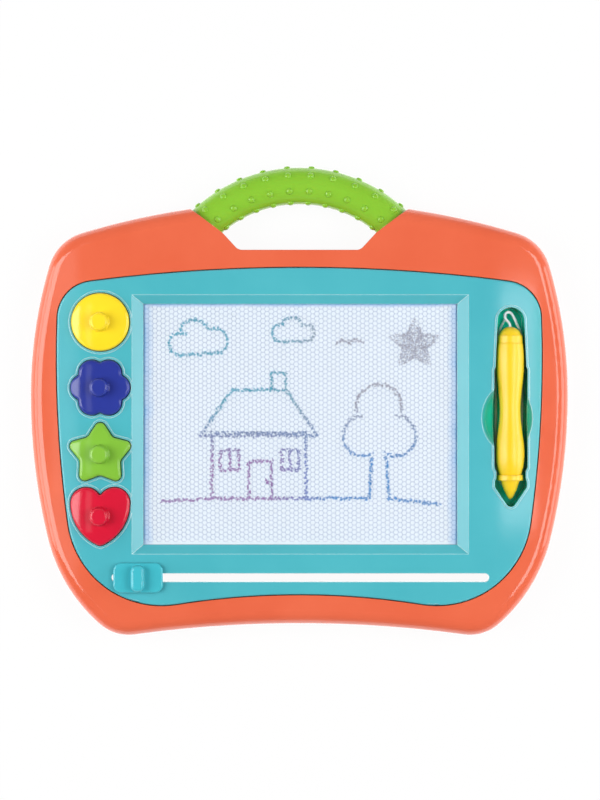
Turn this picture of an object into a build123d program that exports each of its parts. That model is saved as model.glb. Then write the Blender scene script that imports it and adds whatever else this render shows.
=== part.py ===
from build123d import *
import math
import os

# A kids' magnetic drawing board, lying on its back with the drawing face up.
# +Z points out of the drawing face, +Y to the carrying handle and +X along the eraser's slot.
# The origin is on the surface that the board lies on, under the middle of its outline.
# All sizes are in millimetres.

os.makedirs("parts", exist_ok=True)

# Drawing screen: the visible window, its place and the sloped walls round it
screen_width = 219.5
screen_height = 168.2
screen_x = 0.7
screen_y = -17.0
bevel_side = 7.5
bevel_end = 6.2
recess_depth = 5.4
film_margin = 2.0
film_thickness = 0.4
core_thickness = 1.4
window_edge = 0.8
clamp_rim = 3.9
clamp_lip = 1.0
film_gap = 0.2

# Teal front panel: what surrounds the recess of the screen
side_column = 52.1
panel_top_margin = 19.0
slot_drop = 16.4
panel_bottom_margin = 11.8
panel_top_radius = 1120.0
panel_side_radius = 830.0
panel_bottom_radius = 540.0
panel_widest_rise = 46.0
panel_corner_radius = 26.0
panel_lobe_radius = 66.0
panel_wall = 2.4
panel_edge_round = 1.2
panel_flange_width = 2.5
panel_flange_thickness = 2.0
seam_gap = 0.5

# Orange case
rim_side = 19.65
rim_notch = 12.3
rim_top = 47.5
rim_bottom = 21.3
case_top_radius = 530.0
case_side_radius = 318.0
case_knee_radius = 420.0
case_bottom_radius = 850.0
case_corner_radius = 34.0
case_lobe_radius = 31.0
case_widest_rise = 20.5
case_knee_drop = 100.8
case_heel_share = 0.677
case_height = 29.6
split_height = 15.0
case_wall = 2.4
rim_round = 10.0
back_round = 4.0
flat_half_width = 122.0
crown_radius = 600.0

# Handle and the notch under it
handle_mean_radius = 96.3
handle_drop = 85.1
grip_half_width = 13.0
grip_half_depth = 11.0
grip_wall = 3.0
grip_half_angle = 45.6
core_half_angle = 52.0
core_fit = 0.05
handle_fit = 0.3
socket_wall = 3.0
notch_floor_half = 42.5
notch_shoulder_half = 77.0
notch_knee_x_share = 0.32
notch_knee_y_share = 0.405
notch_corner_radius = 6.0
stud_radius = 2.1
stud_tip_radius = 1.2
stud_height = 1.2
stud_sink = 0.5
stud_pitch_angle = 8.7
studs_per_row = 10
stud_rows = 7
stud_sides = 8

# Eraser slide
slot_length = 262.8
slot_width = 5.8
rear_slot_width = 12.0
rear_slot_overlap = 4.0
guide_wall = 2.0
knob_length = 34.5
knob_width = 20.7
knob_thickness = 3.2
knob_corner_radius = 5.6
knob_edge_round = 1.2
grip_ridge_length = 9.2
grip_ridge_width = 18.0
grip_ridge_height = 6.5
grip_ridge_corner = 4.0
grip_ridge_round = 2.2
knob_float = 0.3
stem_length = 12.0
stem_side_gap = 0.3
slider_end_gap = 1.4
carriage_height = 4.9
carriage_gap = 0.3
carriage_bar_width = 8.0
carriage_bar_overlap = 11.5
carriage_foot_length = 30.0
carriage_foot_width = 15.0
fork_gap = 0.4
fork_tine = 2.0
fork_drop = 3.0
magnet_strip_width = 4.0
magnet_strip_thickness = 1.8
magnet_strip_overlap = 2.0
magnet_strip_gap = 0.05

# Stamps
stamp_size = 40.3
stamp_margin = 1.25
stamp_place_shares = (0.4235, 0.1525, -0.123, -0.379)
pocket_gap = 0.6
pocket_depth = 7.0
pocket_wall = 1.4
lip_width = 1.4
lip_height = 0.5
stamp_seat_gap = 0.3
stamp_rise = 5.0
stamp_dome_radius = 95.0
stamp_edge_round = 2.2
stamp_knob_base_radius = 7.0
stamp_knob_top_radius = 5.9
stamp_knob_height = 7.2
stamp_knob_round = 1.6
stamp_knob_foot_round = 1.2
stamp_magnet_thickness = 1.5
stamp_magnet_inset = 2.0
stamp_magnet_gap = 0.1
flower_petals = 6
flower_petal_share = 0.2228
flower_ring_share = 0.2911
flower_valley_share = 0.05
star_tips = 5
star_reach_share = 0.627
star_valley_share = 0.362
star_tip_round_share = 0.095
star_valley_round_share = 0.12
heart_half_width_share = 0.512
heart_top_share = 0.494
heart_lobe_share = 0.248
heart_side_share = 0.229
heart_notch_share = 0.328
heart_tip_share = -0.52
heart_tip_round_share = 0.089
heart_notch_round_share = 0.04

# Pen and its tray
pen_length = 120.8
pen_radius = 10.0
pen_margin = 29.5
pen_rise = 7.8
pen_sink = 5.4
pen_seat_gap = 0.3
pen_bore_radius = 4.5
pen_barrel_shares = ((0.404, 0.90), (0.238, 0.95), (-0.013, 0.725), (-0.237, 1.0), (-0.357, 0.77))
pen_cap_shares = ((0.404, 0.875), (0.449, 0.855), (0.449, 0.79))
pen_collar_share = 0.895
pen_collar_end_share = -0.388
pen_cone_shares = ((-0.388, 0.67), (-0.446, 0.44), (-0.488, 0.18))
pen_tip_flat_share = 0.12
pen_plug_length = 12.0
pen_plug_fit = 0.05
pen_magnet_radius = 2.5
pen_magnet_length = 9.0
pen_magnet_cover = 4.0
tray_half_width = 11.7
tray_wall = 2.0
tray_side_shares = (
    (0.80, 0.545),
    (0.92, 0.268),
    (1.00, 0.252),
    (1.00, -0.315),
    (0.88, -0.335),
    (0.88, -0.373),
    (0.96, -0.393),
    (0.96, -0.427),
    (0.26, -0.527),
)
tray_top_share = 0.611
tray_tip_share = -0.540
scoop_half_width = 18.2
scoop_half_length = 23.2
scoop_y_share = -0.028
scoop_shift = 2.2
scoop_depth = 10.0
scoop_mid_depth_share = 0.45
scoop_mid_share = 0.86
scoop_floor_share = 0.5

# Tether between the pen and the tray
cord_diameter = 1.8
cord_floor_gap = 0.3
cord_hole_radius = 1.2
cord_hole_offset = 2.0
cord_hole_share = 0.572
knot_radius = 2.6
knot_length = 4.0

# Screws
screw_radius = 1.5
screw_head_radius = 2.8
screw_head_height = 2.0
thread_gap = 0.03
screw_hole_gap = 0.2
boss_radius = 3.8
boss_rim_share = 0.42
boss_wall = 1.6
recess_radius = 3.2
screw_recess_depth = 6.0
screw_bite = 7.0
clamp_screw_radius = 0.9
clamp_screw_head_radius = 1.6
clamp_screw_bite = 2.6
screw_tip_gap = 0.4
sink_angle = 82.0

# One overrun for every cut that runs past its face
overrun = 5.0


# Places that follow from the sizes above
half_screen_width = screen_width / 2
half_screen_height = screen_height / 2
recess_half_width = half_screen_width + bevel_side
recess_half_height = half_screen_height + bevel_end
recess_left = screen_x - recess_half_width
recess_right = screen_x + recess_half_width
panel_half_width = recess_half_width + side_column
panel_top = screen_y + recess_half_height + panel_top_margin
slot_y = screen_y - recess_half_height - slot_drop
panel_bottom = slot_y - panel_bottom_margin
panel_widest_y = screen_y + panel_widest_rise
panel_base = split_height + panel_flange_thickness
flange_top = panel_base + panel_flange_thickness
case_half_width = panel_half_width + rim_side
case_top = panel_top + rim_top
case_bottom = panel_bottom - rim_bottom
case_widest_y = screen_y + case_widest_rise
notch_floor = panel_top + rim_notch
handle_y = case_top - handle_drop
core_half_width = grip_half_width - grip_wall
core_half_depth = grip_half_depth - grip_wall
film_top = case_height - recess_depth - window_edge
core_top = film_top - film_thickness
core_bottom = core_top - core_thickness
back_sheet_bottom = core_bottom - film_thickness
clamp_bottom = back_sheet_bottom - clamp_lip
carriage_top = clamp_bottom - carriage_gap
carriage_bottom = carriage_top - carriage_height
stamp_x = recess_left - stamp_margin - pocket_gap - stamp_size / 2
stamp_ys = [screen_y + share * screen_height for share in stamp_place_shares]
stamp_names = ["circle", "flower", "star", "heart"]
pocket_floor = case_height - pocket_depth
pen_x = recess_right + pen_margin
pen_y = screen_y + pen_rise
pen_z = case_height - pen_sink
tray_floor = pen_z - pen_radius - pen_seat_gap
film_width = screen_width + 2 * film_margin
film_height = screen_height + 2 * film_margin
slider_x = screen_x - slot_length / 2 + slider_end_gap + knob_length / 2
slider_travel = slot_length - knob_length - 2 * slider_end_gap
knob_base = case_height + knob_float
bar_top_y = screen_y + half_screen_height + carriage_bar_overlap
bar_low_y = slot_y + carriage_foot_width / 2
guide_rib_y = bar_top_y - fork_tine - fork_gap - guide_wall / 2
cord_hole_place = (pen_x - cord_hole_offset, pen_y + cord_hole_share * pen_length)
clamp_screw_x = film_width / 2 + film_gap + clamp_rim / 2
clamp_screw_ys = (-half_screen_height / 2, half_screen_height / 2)
clamp_screw_places = [(side * clamp_screw_x, y) for side in (-1, 1) for y in clamp_screw_ys]


def circles_meet(centre_a, radius_a, centre_b, radius_b):
    """Return the right-hand point where two circles meet."""
    step_x = centre_b[0] - centre_a[0]
    step_y = centre_b[1] - centre_a[1]
    step = math.hypot(step_x, step_y)
    along = (radius_a ** 2 - radius_b ** 2 + step ** 2) / (2 * step)
    across = math.sqrt(radius_a ** 2 - along ** 2)
    points = []
    for side in (-1, 1):
        x = centre_a[0] + (along * step_x + side * across * step_y) / step
        y = centre_a[1] + (along * step_y - side * across * step_x) / step
        points.append((x, y))
    return max(points)


def arc_fall(radius, reach):
    """Return how far a circle's edge falls away from its crest at a given reach."""
    return radius - math.sqrt(radius ** 2 - reach ** 2)


def distance_from(corner):
    """Return a key that sorts vertices by their distance from a corner or from its mirror image."""
    return lambda vertex: abs(abs(vertex.X) - corner[0]) + abs(vertex.Y - corner[1])


# Outline of the case: five large arcs a side, rounded where they meet
case_corner = circles_meet(
    (case_half_width - case_side_radius, case_widest_y),
    case_side_radius,
    (0, case_top - case_top_radius),
    case_top_radius,
)
case_knee = (case_half_width - arc_fall(case_knee_radius, case_knee_drop), case_widest_y - case_knee_drop)
case_heel_x = case_half_width * case_heel_share
case_heel = (case_heel_x, case_bottom - arc_fall(case_bottom_radius, case_heel_x))


def case_face(inset):
    """Return the outline of the case as a face, shrunk by inset."""
    with BuildSketch() as outline:
        with BuildLine():
            RadiusArc((0, case_top), case_corner, case_top_radius)
            RadiusArc(case_corner, (case_half_width, case_widest_y), case_side_radius)
            flank = TangentArc((case_half_width, case_widest_y), case_knee, tangent=(0, -1))
            TangentArc(case_knee, case_heel, tangent=flank % 1)
            RadiusArc(case_heel, (0, case_bottom), -case_bottom_radius)
            mirror(about=Plane.YZ)
        make_face()
        if inset > 0:
            offset(amount=-inset, kind=Kind.INTERSECTION)
        corners = outline.vertices().group_by(distance_from(case_corner))[0]
        fillet(corners, case_corner_radius - inset)
        heels = outline.vertices().group_by(distance_from(case_heel))[0]
        fillet(heels, case_lobe_radius - inset)
    return outline.sketch


# Outline of the front panel, which follows the case at the width of the rim
panel_corner = circles_meet(
    (panel_half_width - panel_side_radius, panel_widest_y),
    panel_side_radius,
    (0, panel_top - panel_top_radius),
    panel_top_radius,
)
panel_heel = circles_meet(
    (panel_half_width - panel_side_radius, panel_widest_y),
    panel_side_radius,
    (0, panel_bottom - panel_bottom_radius),
    panel_bottom_radius,
)


def panel_shape(grow):
    """Return the outline of the front panel as a face, grown by grow."""
    with BuildSketch() as outline:
        with BuildLine():
            RadiusArc((0, panel_top), panel_corner, panel_top_radius)
            RadiusArc(panel_corner, panel_heel, panel_side_radius)
            RadiusArc(panel_heel, (0, panel_bottom), -panel_bottom_radius)
            mirror(about=Plane.YZ)
        make_face()
        if grow != 0:
            offset(amount=grow, kind=Kind.INTERSECTION)
        corners = outline.vertices().group_by(distance_from(panel_corner))[0]
        fillet(corners, panel_corner_radius + grow)
        heels = outline.vertices().group_by(distance_from(panel_heel))[0]
        fillet(heels, panel_lobe_radius + grow)
    return outline.sketch


panel_outline = panel_shape(0)
panel_inner = panel_shape(-panel_wall)
panel_flange = panel_shape(panel_flange_width)
panel_seam = panel_shape(seam_gap)
panel_berth = panel_shape(seam_gap + case_wall)

# Notch under the handle, open at the top of the case
notch_shoulder = (notch_shoulder_half, case_top - arc_fall(case_top_radius, notch_shoulder_half))
notch_knee = (
    notch_floor_half + notch_knee_x_share * (notch_shoulder_half - notch_floor_half),
    notch_floor + notch_knee_y_share * (notch_shoulder[1] - notch_floor),
)
notch_slope = (notch_shoulder[1] - notch_knee[1]) / (notch_shoulder[0] - notch_knee[0])
notch_mouth = (notch_shoulder[0] + overrun, notch_shoulder[1] + overrun * notch_slope)
with BuildSketch() as notch:
    with BuildLine():
        Polyline(
            (0, notch_floor),
            (notch_floor_half, notch_floor),
            notch_knee,
            notch_mouth,
            (notch_mouth[0], case_top + overrun),
            (0, case_top + overrun),
        )
        mirror(about=Plane.YZ)
    make_face()
    fillet(notch.vertices().group_by(Axis.Y)[0], notch_corner_radius)


# Front surface of the case: flat over the screen, falling away in a gentle arc to each side
crown_angle = math.degrees(math.asin((case_half_width + overrun - flat_half_width) / crown_radius))


def under_front(level):
    """Return a block whose top is the case's front surface, moved out by level."""
    with BuildPart() as block:
        with BuildSketch(Plane.XZ):
            with BuildLine():
                flat = Line((0, case_height + level), (flat_half_width, case_height + level))
                fall = JernArc(flat @ 1, flat % 1, crown_radius + level, -crown_angle)
                Polyline(fall @ 1, ((fall @ 1).X, 0), (0, 0), flat @ 0)
            make_face()
            mirror(about=Plane.YZ)
        extrude(amount=case_top - case_bottom, both=True)
    return block.part


def front_form(inset):
    """Return the front half of the case as a full block, shrunk by inset."""
    front_surface = under_front(-inset)
    outline = case_face(inset)
    with BuildPart() as form:
        with BuildSketch(Plane.XY.offset(split_height)):
            add(outline)
        extrude(amount=case_height)
        add(front_surface, mode=Mode.INTERSECT)
        curved = form.edges().filter_by(GeomType.LINE, reverse=True)
        rim_edges = curved.filter_by(lambda edge: edge.center().Z > split_height + case_wall)
        fillet(rim_edges, rim_round - inset)
        with BuildSketch(Plane.XY.offset(split_height)):
            add(notch.sketch)
            if inset > 0:
                offset(amount=inset)
        extrude(amount=case_height, mode=Mode.SUBTRACT)
    return form.part


def rear_form(inset):
    """Return the rear half of the case as a full block, shrunk by inset."""
    outline = case_face(inset)
    with BuildPart() as form:
        with BuildSketch(Plane.XY.offset(inset)):
            add(outline)
        extrude(amount=split_height - inset)
        fillet(form.edges().group_by(Axis.Z)[0], back_round - inset)
        with BuildSketch(Plane.XY.offset(inset)):
            add(notch.sketch)
            if inset > 0:
                offset(amount=inset)
        extrude(amount=split_height, mode=Mode.SUBTRACT)
    return form.part


def handle_bar(half_width, half_depth, half_angle):
    """Return the handle's arched bar with an oval section, as long as half_angle each way."""
    start = math.radians(90 - half_angle)
    section = Plane(
        origin=(0, handle_y, split_height),
        x_dir=(math.cos(start), math.sin(start), 0),
        z_dir=(-math.sin(start), math.cos(start), 0),
    )
    with BuildPart() as bar:
        with BuildSketch(section):
            with Locations((handle_mean_radius, 0)):
                Ellipse(half_width, half_depth)
        revolve(axis=Axis((0, handle_y, split_height), (0, 0, 1)), revolution_arc=2 * half_angle)
    return bar.part


def socket_blocks():
    """Return the two blocks that close round the ends of the handle's core."""
    half_width = core_half_width + socket_wall
    with BuildPart() as blocks:
        for end_angle in (90 - core_half_angle, 90 + grip_half_angle):
            start = math.radians(end_angle)
            section = Plane(
                origin=(0, handle_y, split_height),
                x_dir=(math.cos(start), math.sin(start), 0),
                z_dir=(-math.sin(start), math.cos(start), 0),
            )
            with BuildSketch(section):
                with Locations((handle_mean_radius, 0)):
                    Rectangle(2 * half_width, 2 * split_height)
            revolve(
                axis=Axis((0, handle_y, split_height), (0, 0, 1)),
                revolution_arc=core_half_angle - grip_half_angle,
            )
    return blocks.part


grip_way_sizes = [size + handle_fit for size in (grip_half_width, grip_half_depth, grip_half_angle)]
grip_way = handle_bar(*grip_way_sizes)
core_way = handle_bar(core_half_width + handle_fit, core_half_depth + handle_fit, core_half_angle)
handle_sockets = socket_blocks()

# Places of the case screws, along the middle of the rim and at the foot of the case
boss_high_y = screen_y + half_screen_height
boss_low_y = screen_y - half_screen_height / 2
boss_top_x = (notch_shoulder_half + case_corner[0]) / 2
boss_foot_x = case_heel_x * (1 - case_heel_share / 6)
boss_inset = boss_rim_share * rim_side
boss_places = [
    (case_half_width - arc_fall(case_side_radius, boss_high_y - case_widest_y) - boss_inset, boss_high_y),
    (case_half_width - arc_fall(case_knee_radius, case_widest_y - boss_low_y) - boss_inset, boss_low_y),
    (boss_top_x, case_top - arc_fall(case_top_radius, boss_top_x) - boss_inset),
    (boss_foot_x, case_bottom - arc_fall(case_bottom_radius, boss_foot_x) + boss_inset),
]
boss_places = boss_places + [(-x, y) for x, y in boss_places]

# Front shell: the orange frame round the panel
front_block = front_form(0)
front_core = front_form(case_wall)
with BuildPart() as front_hollow:
    add(front_core)
    with BuildSketch(Plane.XY.offset(flange_top)):
        add(panel_berth)
    extrude(amount=case_height, mode=Mode.SUBTRACT)

front_skin = front_form(case_wall / 2)
with BuildPart() as front_posts:
    with BuildSketch(Plane.XY.offset(split_height)):
        with Locations(*boss_places):
            Circle(boss_radius)
    extrude(amount=case_height)
    add(handle_sockets)
    add(front_skin, mode=Mode.INTERSECT)

with BuildPart() as front_shell:
    add(front_block)
    add(front_hollow.part, mode=Mode.SUBTRACT)
    add(front_posts.part)
    with BuildSketch(Plane.XY.offset(split_height)):
        add(panel_seam)
    extrude(amount=case_height, mode=Mode.SUBTRACT)
    with BuildSketch(Plane.XY.offset(split_height)):
        with Locations(*boss_places):
            Circle(screw_radius + thread_gap)
    extrude(amount=screw_bite, mode=Mode.SUBTRACT)
    add(grip_way, mode=Mode.SUBTRACT)
    add(core_way, mode=Mode.SUBTRACT)
front_shell.part.label = "front_shell"
export_step(front_shell.part, "parts/front_shell.step")

# Outline of the pen's tray, wide for the grip and narrow at the pen's collar
with BuildSketch() as tray_outline:
    side_points = [(x * tray_half_width, y * pen_length) for x, y in tray_side_shares]
    with BuildLine():
        crown = side_points[0]
        TangentArc((0, tray_top_share * pen_length), crown, tangent=(1, 0))
        Polyline(*side_points)
        TangentArc((0, tray_tip_share * pen_length), side_points[-1], tangent=(1, 0))
        mirror(about=Plane.YZ)
    make_face()

# Rear cover: a shallow tray with the eraser's slot, screw recesses and inner ribs
rear_block = rear_form(0)
rear_core = rear_form(case_wall)
rear_skin = rear_form(case_wall / 2)
rear_boss_radius = recess_radius + boss_wall
rear_slot_length = slot_length + 2 * rear_slot_overlap
with BuildPart() as rear_ribs:
    with BuildSketch():
        with Locations(*boss_places):
            Circle(rear_boss_radius)
    extrude(amount=split_height)
    add(handle_sockets)
    with BuildSketch():
        with Locations((screen_x, slot_y)):
            SlotOverall(rear_slot_length + 2 * guide_wall, rear_slot_width + 2 * guide_wall)
    extrude(amount=carriage_bottom - carriage_gap)
    with BuildSketch():
        with Locations((screen_x, guide_rib_y)):
            Rectangle(slider_travel + knob_length, guide_wall)
    extrude(amount=carriage_bottom - carriage_gap)
    add(rear_skin, mode=Mode.INTERSECT)

with BuildPart() as panel_ring:
    with BuildSketch(Plane.XY.offset(case_wall / 2)):
        add(panel_outline)
        add(panel_inner, mode=Mode.SUBTRACT)
    extrude(amount=panel_base - case_wall / 2)
    with BuildSketch(Plane.XY.offset(tray_floor - tray_wall - seam_gap)):
        with Locations((pen_x, pen_y)):
            add(tray_outline.sketch)
        offset(amount=tray_wall + seam_gap)
    extrude(amount=panel_base, mode=Mode.SUBTRACT)

with BuildPart() as rear_cover:
    add(rear_block)
    add(rear_core, mode=Mode.SUBTRACT)
    add(rear_ribs.part)
    add(panel_ring.part)
    with BuildSketch():
        with Locations((screen_x, slot_y)):
            SlotOverall(rear_slot_length, rear_slot_width)
    extrude(amount=split_height, mode=Mode.SUBTRACT)
    with BuildSketch():
        with Locations(*boss_places):
            Circle(recess_radius)
    extrude(amount=screw_recess_depth, mode=Mode.SUBTRACT)
    with BuildSketch():
        with Locations(*boss_places):
            Circle(screw_radius + screw_hole_gap)
    extrude(amount=split_height, mode=Mode.SUBTRACT)
    add(grip_way, mode=Mode.SUBTRACT)
    add(core_way, mode=Mode.SUBTRACT)
rear_cover.part.label = "rear_cover"
export_step(rear_cover.part, "parts/rear_cover.step")

# Shapes of the stamps, drawn round their own middle
with BuildSketch() as circle_shape:
    Circle(stamp_size / 2)

with BuildSketch() as flower_shape:
    flower_ring = flower_ring_share * stamp_size
    Circle(flower_ring)
    with PolarLocations(flower_ring, flower_petals):
        Circle(flower_petal_share * stamp_size)
    valleys = flower_shape.vertices().filter_by(lambda v: math.hypot(v.X, v.Y) > flower_ring)
    fillet(valleys, flower_valley_share * stamp_size)

with BuildSketch() as star_shape:
    star_points = []
    for tip in range(star_tips):
        tip_angle = math.radians(90 + tip * 360 / star_tips)
        valley_angle = tip_angle + math.pi / star_tips
        for angle, share in ((tip_angle, star_reach_share), (valley_angle, star_valley_share)):
            star_points.append((share * stamp_size * math.cos(angle), share * stamp_size * math.sin(angle)))
    with BuildLine():
        Polyline(*star_points, close=True)
    make_face()
    by_reach = star_shape.vertices().sort_by(lambda v: math.hypot(v.X, v.Y))
    star_valleys = by_reach[:star_tips]
    fillet(star_valleys, star_valley_round_share * stamp_size)
    by_reach = star_shape.vertices().sort_by(lambda v: math.hypot(v.X, v.Y))
    fillet(by_reach[-star_tips:], star_tip_round_share * stamp_size)

with BuildSketch() as heart_shape:
    heart_side = (heart_half_width_share * stamp_size, heart_side_share * stamp_size)
    heart_crest = (heart_lobe_share * stamp_size, heart_top_share * stamp_size)
    heart_notch = (0, heart_notch_share * stamp_size)
    heart_tip = (0, heart_tip_share * stamp_size)
    with BuildLine():
        ThreePointArc(heart_notch, heart_crest, heart_side)
        TangentArc(heart_side, heart_tip, tangent=(0, -1))
        mirror(about=Plane.YZ)
    make_face()
    fillet(heart_shape.vertices().sort_by(Axis.Y)[0], heart_tip_round_share * stamp_size)
    middle = heart_shape.vertices().filter_by(lambda v: abs(v.X) < heart_notch_round_share * stamp_size)
    fillet(middle.sort_by(Axis.Y)[-1], heart_notch_round_share * stamp_size)

stamp_shapes = [circle_shape.sketch, flower_shape.sketch, star_shape.sketch, heart_shape.sketch]

scoop_x = pen_x - scoop_shift
scoop_y = pen_y + scoop_y_share * pen_length


def scoop_bowl(grow):
    """Return the bowl that lets fingers reach the pen, grown by a wall."""
    depth = scoop_depth + grow
    levels = [
        (case_height + overrun, 1),
        (case_height, 1),
        (case_height - depth * scoop_mid_depth_share, scoop_mid_share),
        (case_height - depth, scoop_floor_share),
    ]
    with BuildPart() as bowl:
        for level, share in levels:
            with BuildSketch(Plane((scoop_x, scoop_y, level))):
                Ellipse(scoop_half_width * share + grow, scoop_half_length * share + grow)
        loft(ruled=True)
    return bowl.part


scoop_way = scoop_bowl(0)
scoop_cup = scoop_bowl(tray_wall)

# Front panel: a crowned teal plate with the screen's recess, four pockets, the tray and the slot
panel_face = under_front(0)
panel_inside = under_front(-panel_wall)
panel_lift = under_front(lip_height)
cup_limit = under_front(-panel_wall / 2)
with BuildPart() as panel_hollow:
    with BuildSketch(Plane.XY.offset(panel_base)):
        add(panel_inner)
    extrude(amount=case_height)
    add(panel_inside, mode=Mode.INTERSECT)

with BuildPart() as panel_cups:
    with BuildSketch(Plane.XY.offset(film_top)):
        with Locations((screen_x, screen_y)):
            Rectangle(2 * recess_half_width + panel_wall, 2 * recess_half_height + panel_wall)
    extrude(amount=recess_depth)
    for shape, stamp_y in zip(stamp_shapes, stamp_ys):
        with BuildSketch(Plane.XY.offset(pocket_floor - pocket_wall)):
            with Locations((stamp_x, stamp_y)):
                add(shape)
            offset(amount=pocket_gap + pocket_wall)
    extrude(amount=pocket_depth + pocket_wall)
    with BuildSketch(Plane.XY.offset(tray_floor - tray_wall)):
        with Locations((pen_x, pen_y)):
            add(tray_outline.sketch)
        offset(amount=tray_wall)
    extrude(amount=case_height)
    add(scoop_cup)
    add(cup_limit, mode=Mode.INTERSECT)
    with BuildSketch():
        add(panel_outline)
    extrude(amount=case_height, mode=Mode.INTERSECT)

with BuildPart() as panel_lips:
    for shape, stamp_y in zip(stamp_shapes, stamp_ys):
        with BuildSketch(Plane.XY.offset(pocket_floor)):
            with Locations((stamp_x, stamp_y)):
                add(shape)
            offset(amount=pocket_gap + lip_width)
    extrude(amount=case_height)
    with BuildSketch(Plane.XY.offset(pocket_floor)):
        with Locations((pen_x, pen_y)):
            add(tray_outline.sketch)
        offset(amount=lip_width)
    extrude(amount=case_height)
    add(panel_lift, mode=Mode.INTERSECT)
    with BuildSketch():
        add(panel_outline)
    extrude(amount=case_top, mode=Mode.INTERSECT)

with BuildPart() as panel_ways:
    for shape, stamp_y in zip(stamp_shapes, stamp_ys):
        with BuildSketch(Plane.XY.offset(pocket_floor)):
            with Locations((stamp_x, stamp_y)):
                add(shape)
            offset(amount=pocket_gap)
    extrude(amount=case_height)
    with BuildSketch(Plane.XY.offset(tray_floor)):
        with Locations((pen_x, pen_y)):
            add(tray_outline.sketch)
    extrude(amount=case_height)
    with BuildSketch(Plane.XY.offset(tray_floor - tray_wall)):
        with Locations(cord_hole_place):
            Circle(cord_hole_radius)
    extrude(amount=tray_wall)
    with BuildSketch(Plane((screen_x, screen_y, film_top))):
        with Locations(*clamp_screw_places):
            Circle(clamp_screw_radius + thread_gap)
    extrude(amount=clamp_screw_bite)
    add(scoop_way)
    with BuildSketch(Plane.XY.offset(split_height)):
        with Locations((screen_x, slot_y)):
            SlotOverall(slot_length, slot_width)
        with Locations((screen_x, screen_y)):
            Rectangle(screen_width, screen_height)
    extrude(amount=case_height)

with BuildPart() as recess_way:
    recess_mouth = (recess_depth + lip_height) / recess_depth
    with BuildSketch(Plane((screen_x, screen_y, case_height - recess_depth))):
        Rectangle(screen_width, screen_height)
    with BuildSketch(Plane((screen_x, screen_y, case_height + lip_height))):
        Rectangle(screen_width + 2 * bevel_side * recess_mouth, screen_height + 2 * bevel_end * recess_mouth)
    loft(ruled=True)

with BuildPart() as front_panel:
    with BuildSketch(Plane.XY.offset(panel_base)):
        add(panel_outline)
    extrude(amount=case_height)
    add(panel_face, mode=Mode.INTERSECT)
    curved = front_panel.edges().filter_by(GeomType.LINE, reverse=True)
    fillet(curved.filter_by(lambda edge: edge.center().Z > panel_base + panel_wall), panel_edge_round)
    with BuildSketch(Plane.XY.offset(panel_base)):
        add(panel_flange)
    extrude(amount=panel_flange_thickness)
    add(panel_hollow.part, mode=Mode.SUBTRACT)
    add(panel_cups.part)
    add(panel_lips.part)
    add(panel_ways.part, mode=Mode.SUBTRACT)
    add(recess_way.part, mode=Mode.SUBTRACT)
front_panel.part.label = "front_panel"
export_step(front_panel.part, "parts/front_panel.step")

# Screen: two clear films with the honeycomb core sealed between them, held by a clamp frame
screen_layers = [
    ("screen_film", core_top, film_thickness),
    ("screen_core", core_bottom, core_thickness),
    ("screen_back_sheet", back_sheet_bottom, film_thickness),
]
for layer_name, layer_level, layer_thickness in screen_layers:
    with BuildPart() as screen_layer:
        with BuildSketch(Plane((screen_x, screen_y, layer_level))):
            Rectangle(film_width, film_height)
        extrude(amount=layer_thickness)
    screen_layer.part.label = layer_name
    export_step(screen_layer.part, "parts/" + layer_name + ".step")

with BuildPart() as clamp_frame:
    with BuildSketch(Plane((screen_x, screen_y, clamp_bottom))):
        Rectangle(film_width + 2 * (film_gap + clamp_rim), film_height + 2 * (film_gap + clamp_rim))
        Rectangle(screen_width + film_margin, screen_height + film_margin, mode=Mode.SUBTRACT)
    extrude(amount=film_top - clamp_bottom)
    with BuildSketch(Plane((screen_x, screen_y, back_sheet_bottom))):
        Rectangle(film_width + 2 * film_gap, film_height + 2 * film_gap)
    extrude(amount=film_top - back_sheet_bottom, mode=Mode.SUBTRACT)
    with Locations(Plane((screen_x, screen_y, clamp_bottom), z_dir=(0, 0, -1))):
        with Locations(*clamp_screw_places):
            CounterSinkHole(clamp_screw_radius + screw_hole_gap, clamp_screw_head_radius + screw_hole_gap)
clamp_frame.part.label = "screen_clamp_frame"
export_step(clamp_frame.part, "parts/screen_clamp_frame.step")

# Handle: a stiff core with a soft studded grip moulded over it
with BuildPart() as handle_core:
    add(handle_bar(core_half_width, core_half_depth, core_half_angle))
handle_core.part.label = "handle_core"
export_step(handle_core.part, "parts/handle_core.step")

grip_outside = handle_bar(grip_half_width, grip_half_depth, grip_half_angle)
grip_inside = handle_bar(core_half_width + core_fit, core_half_depth + core_fit, core_half_angle)
stud_planes = []
for place in range(studs_per_row):
    along = math.radians(90 + (place - (studs_per_row - 1) / 2) * stud_pitch_angle)
    outward = Vector(math.cos(along), math.sin(along), 0)
    for row in range(stud_rows):
        turn = 2 * math.pi * row / stud_rows
        on_bar = outward * (handle_mean_radius + grip_half_width * math.cos(turn))
        on_bar = on_bar + Vector(0, handle_y, split_height + grip_half_depth * math.sin(turn))
        lift = outward * (math.cos(turn) / grip_half_width) + Vector(0, 0, math.sin(turn) / grip_half_depth)
        stud_planes.append(Plane(origin=on_bar - lift.normalized() * stud_sink, z_dir=lift))
stud_taper = math.degrees(math.atan((stud_radius - stud_tip_radius) / (stud_height + stud_sink)))
with BuildPart() as handle_grip:
    add(grip_outside)
    with BuildSketch(*stud_planes):
        RegularPolygon(stud_radius, stud_sides)
    extrude(amount=stud_height + stud_sink, taper=stud_taper)
    add(grip_inside, mode=Mode.SUBTRACT)
handle_grip.part.label = "handle_grip"
export_step(handle_grip.part, "parts/handle_grip.step")

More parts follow.
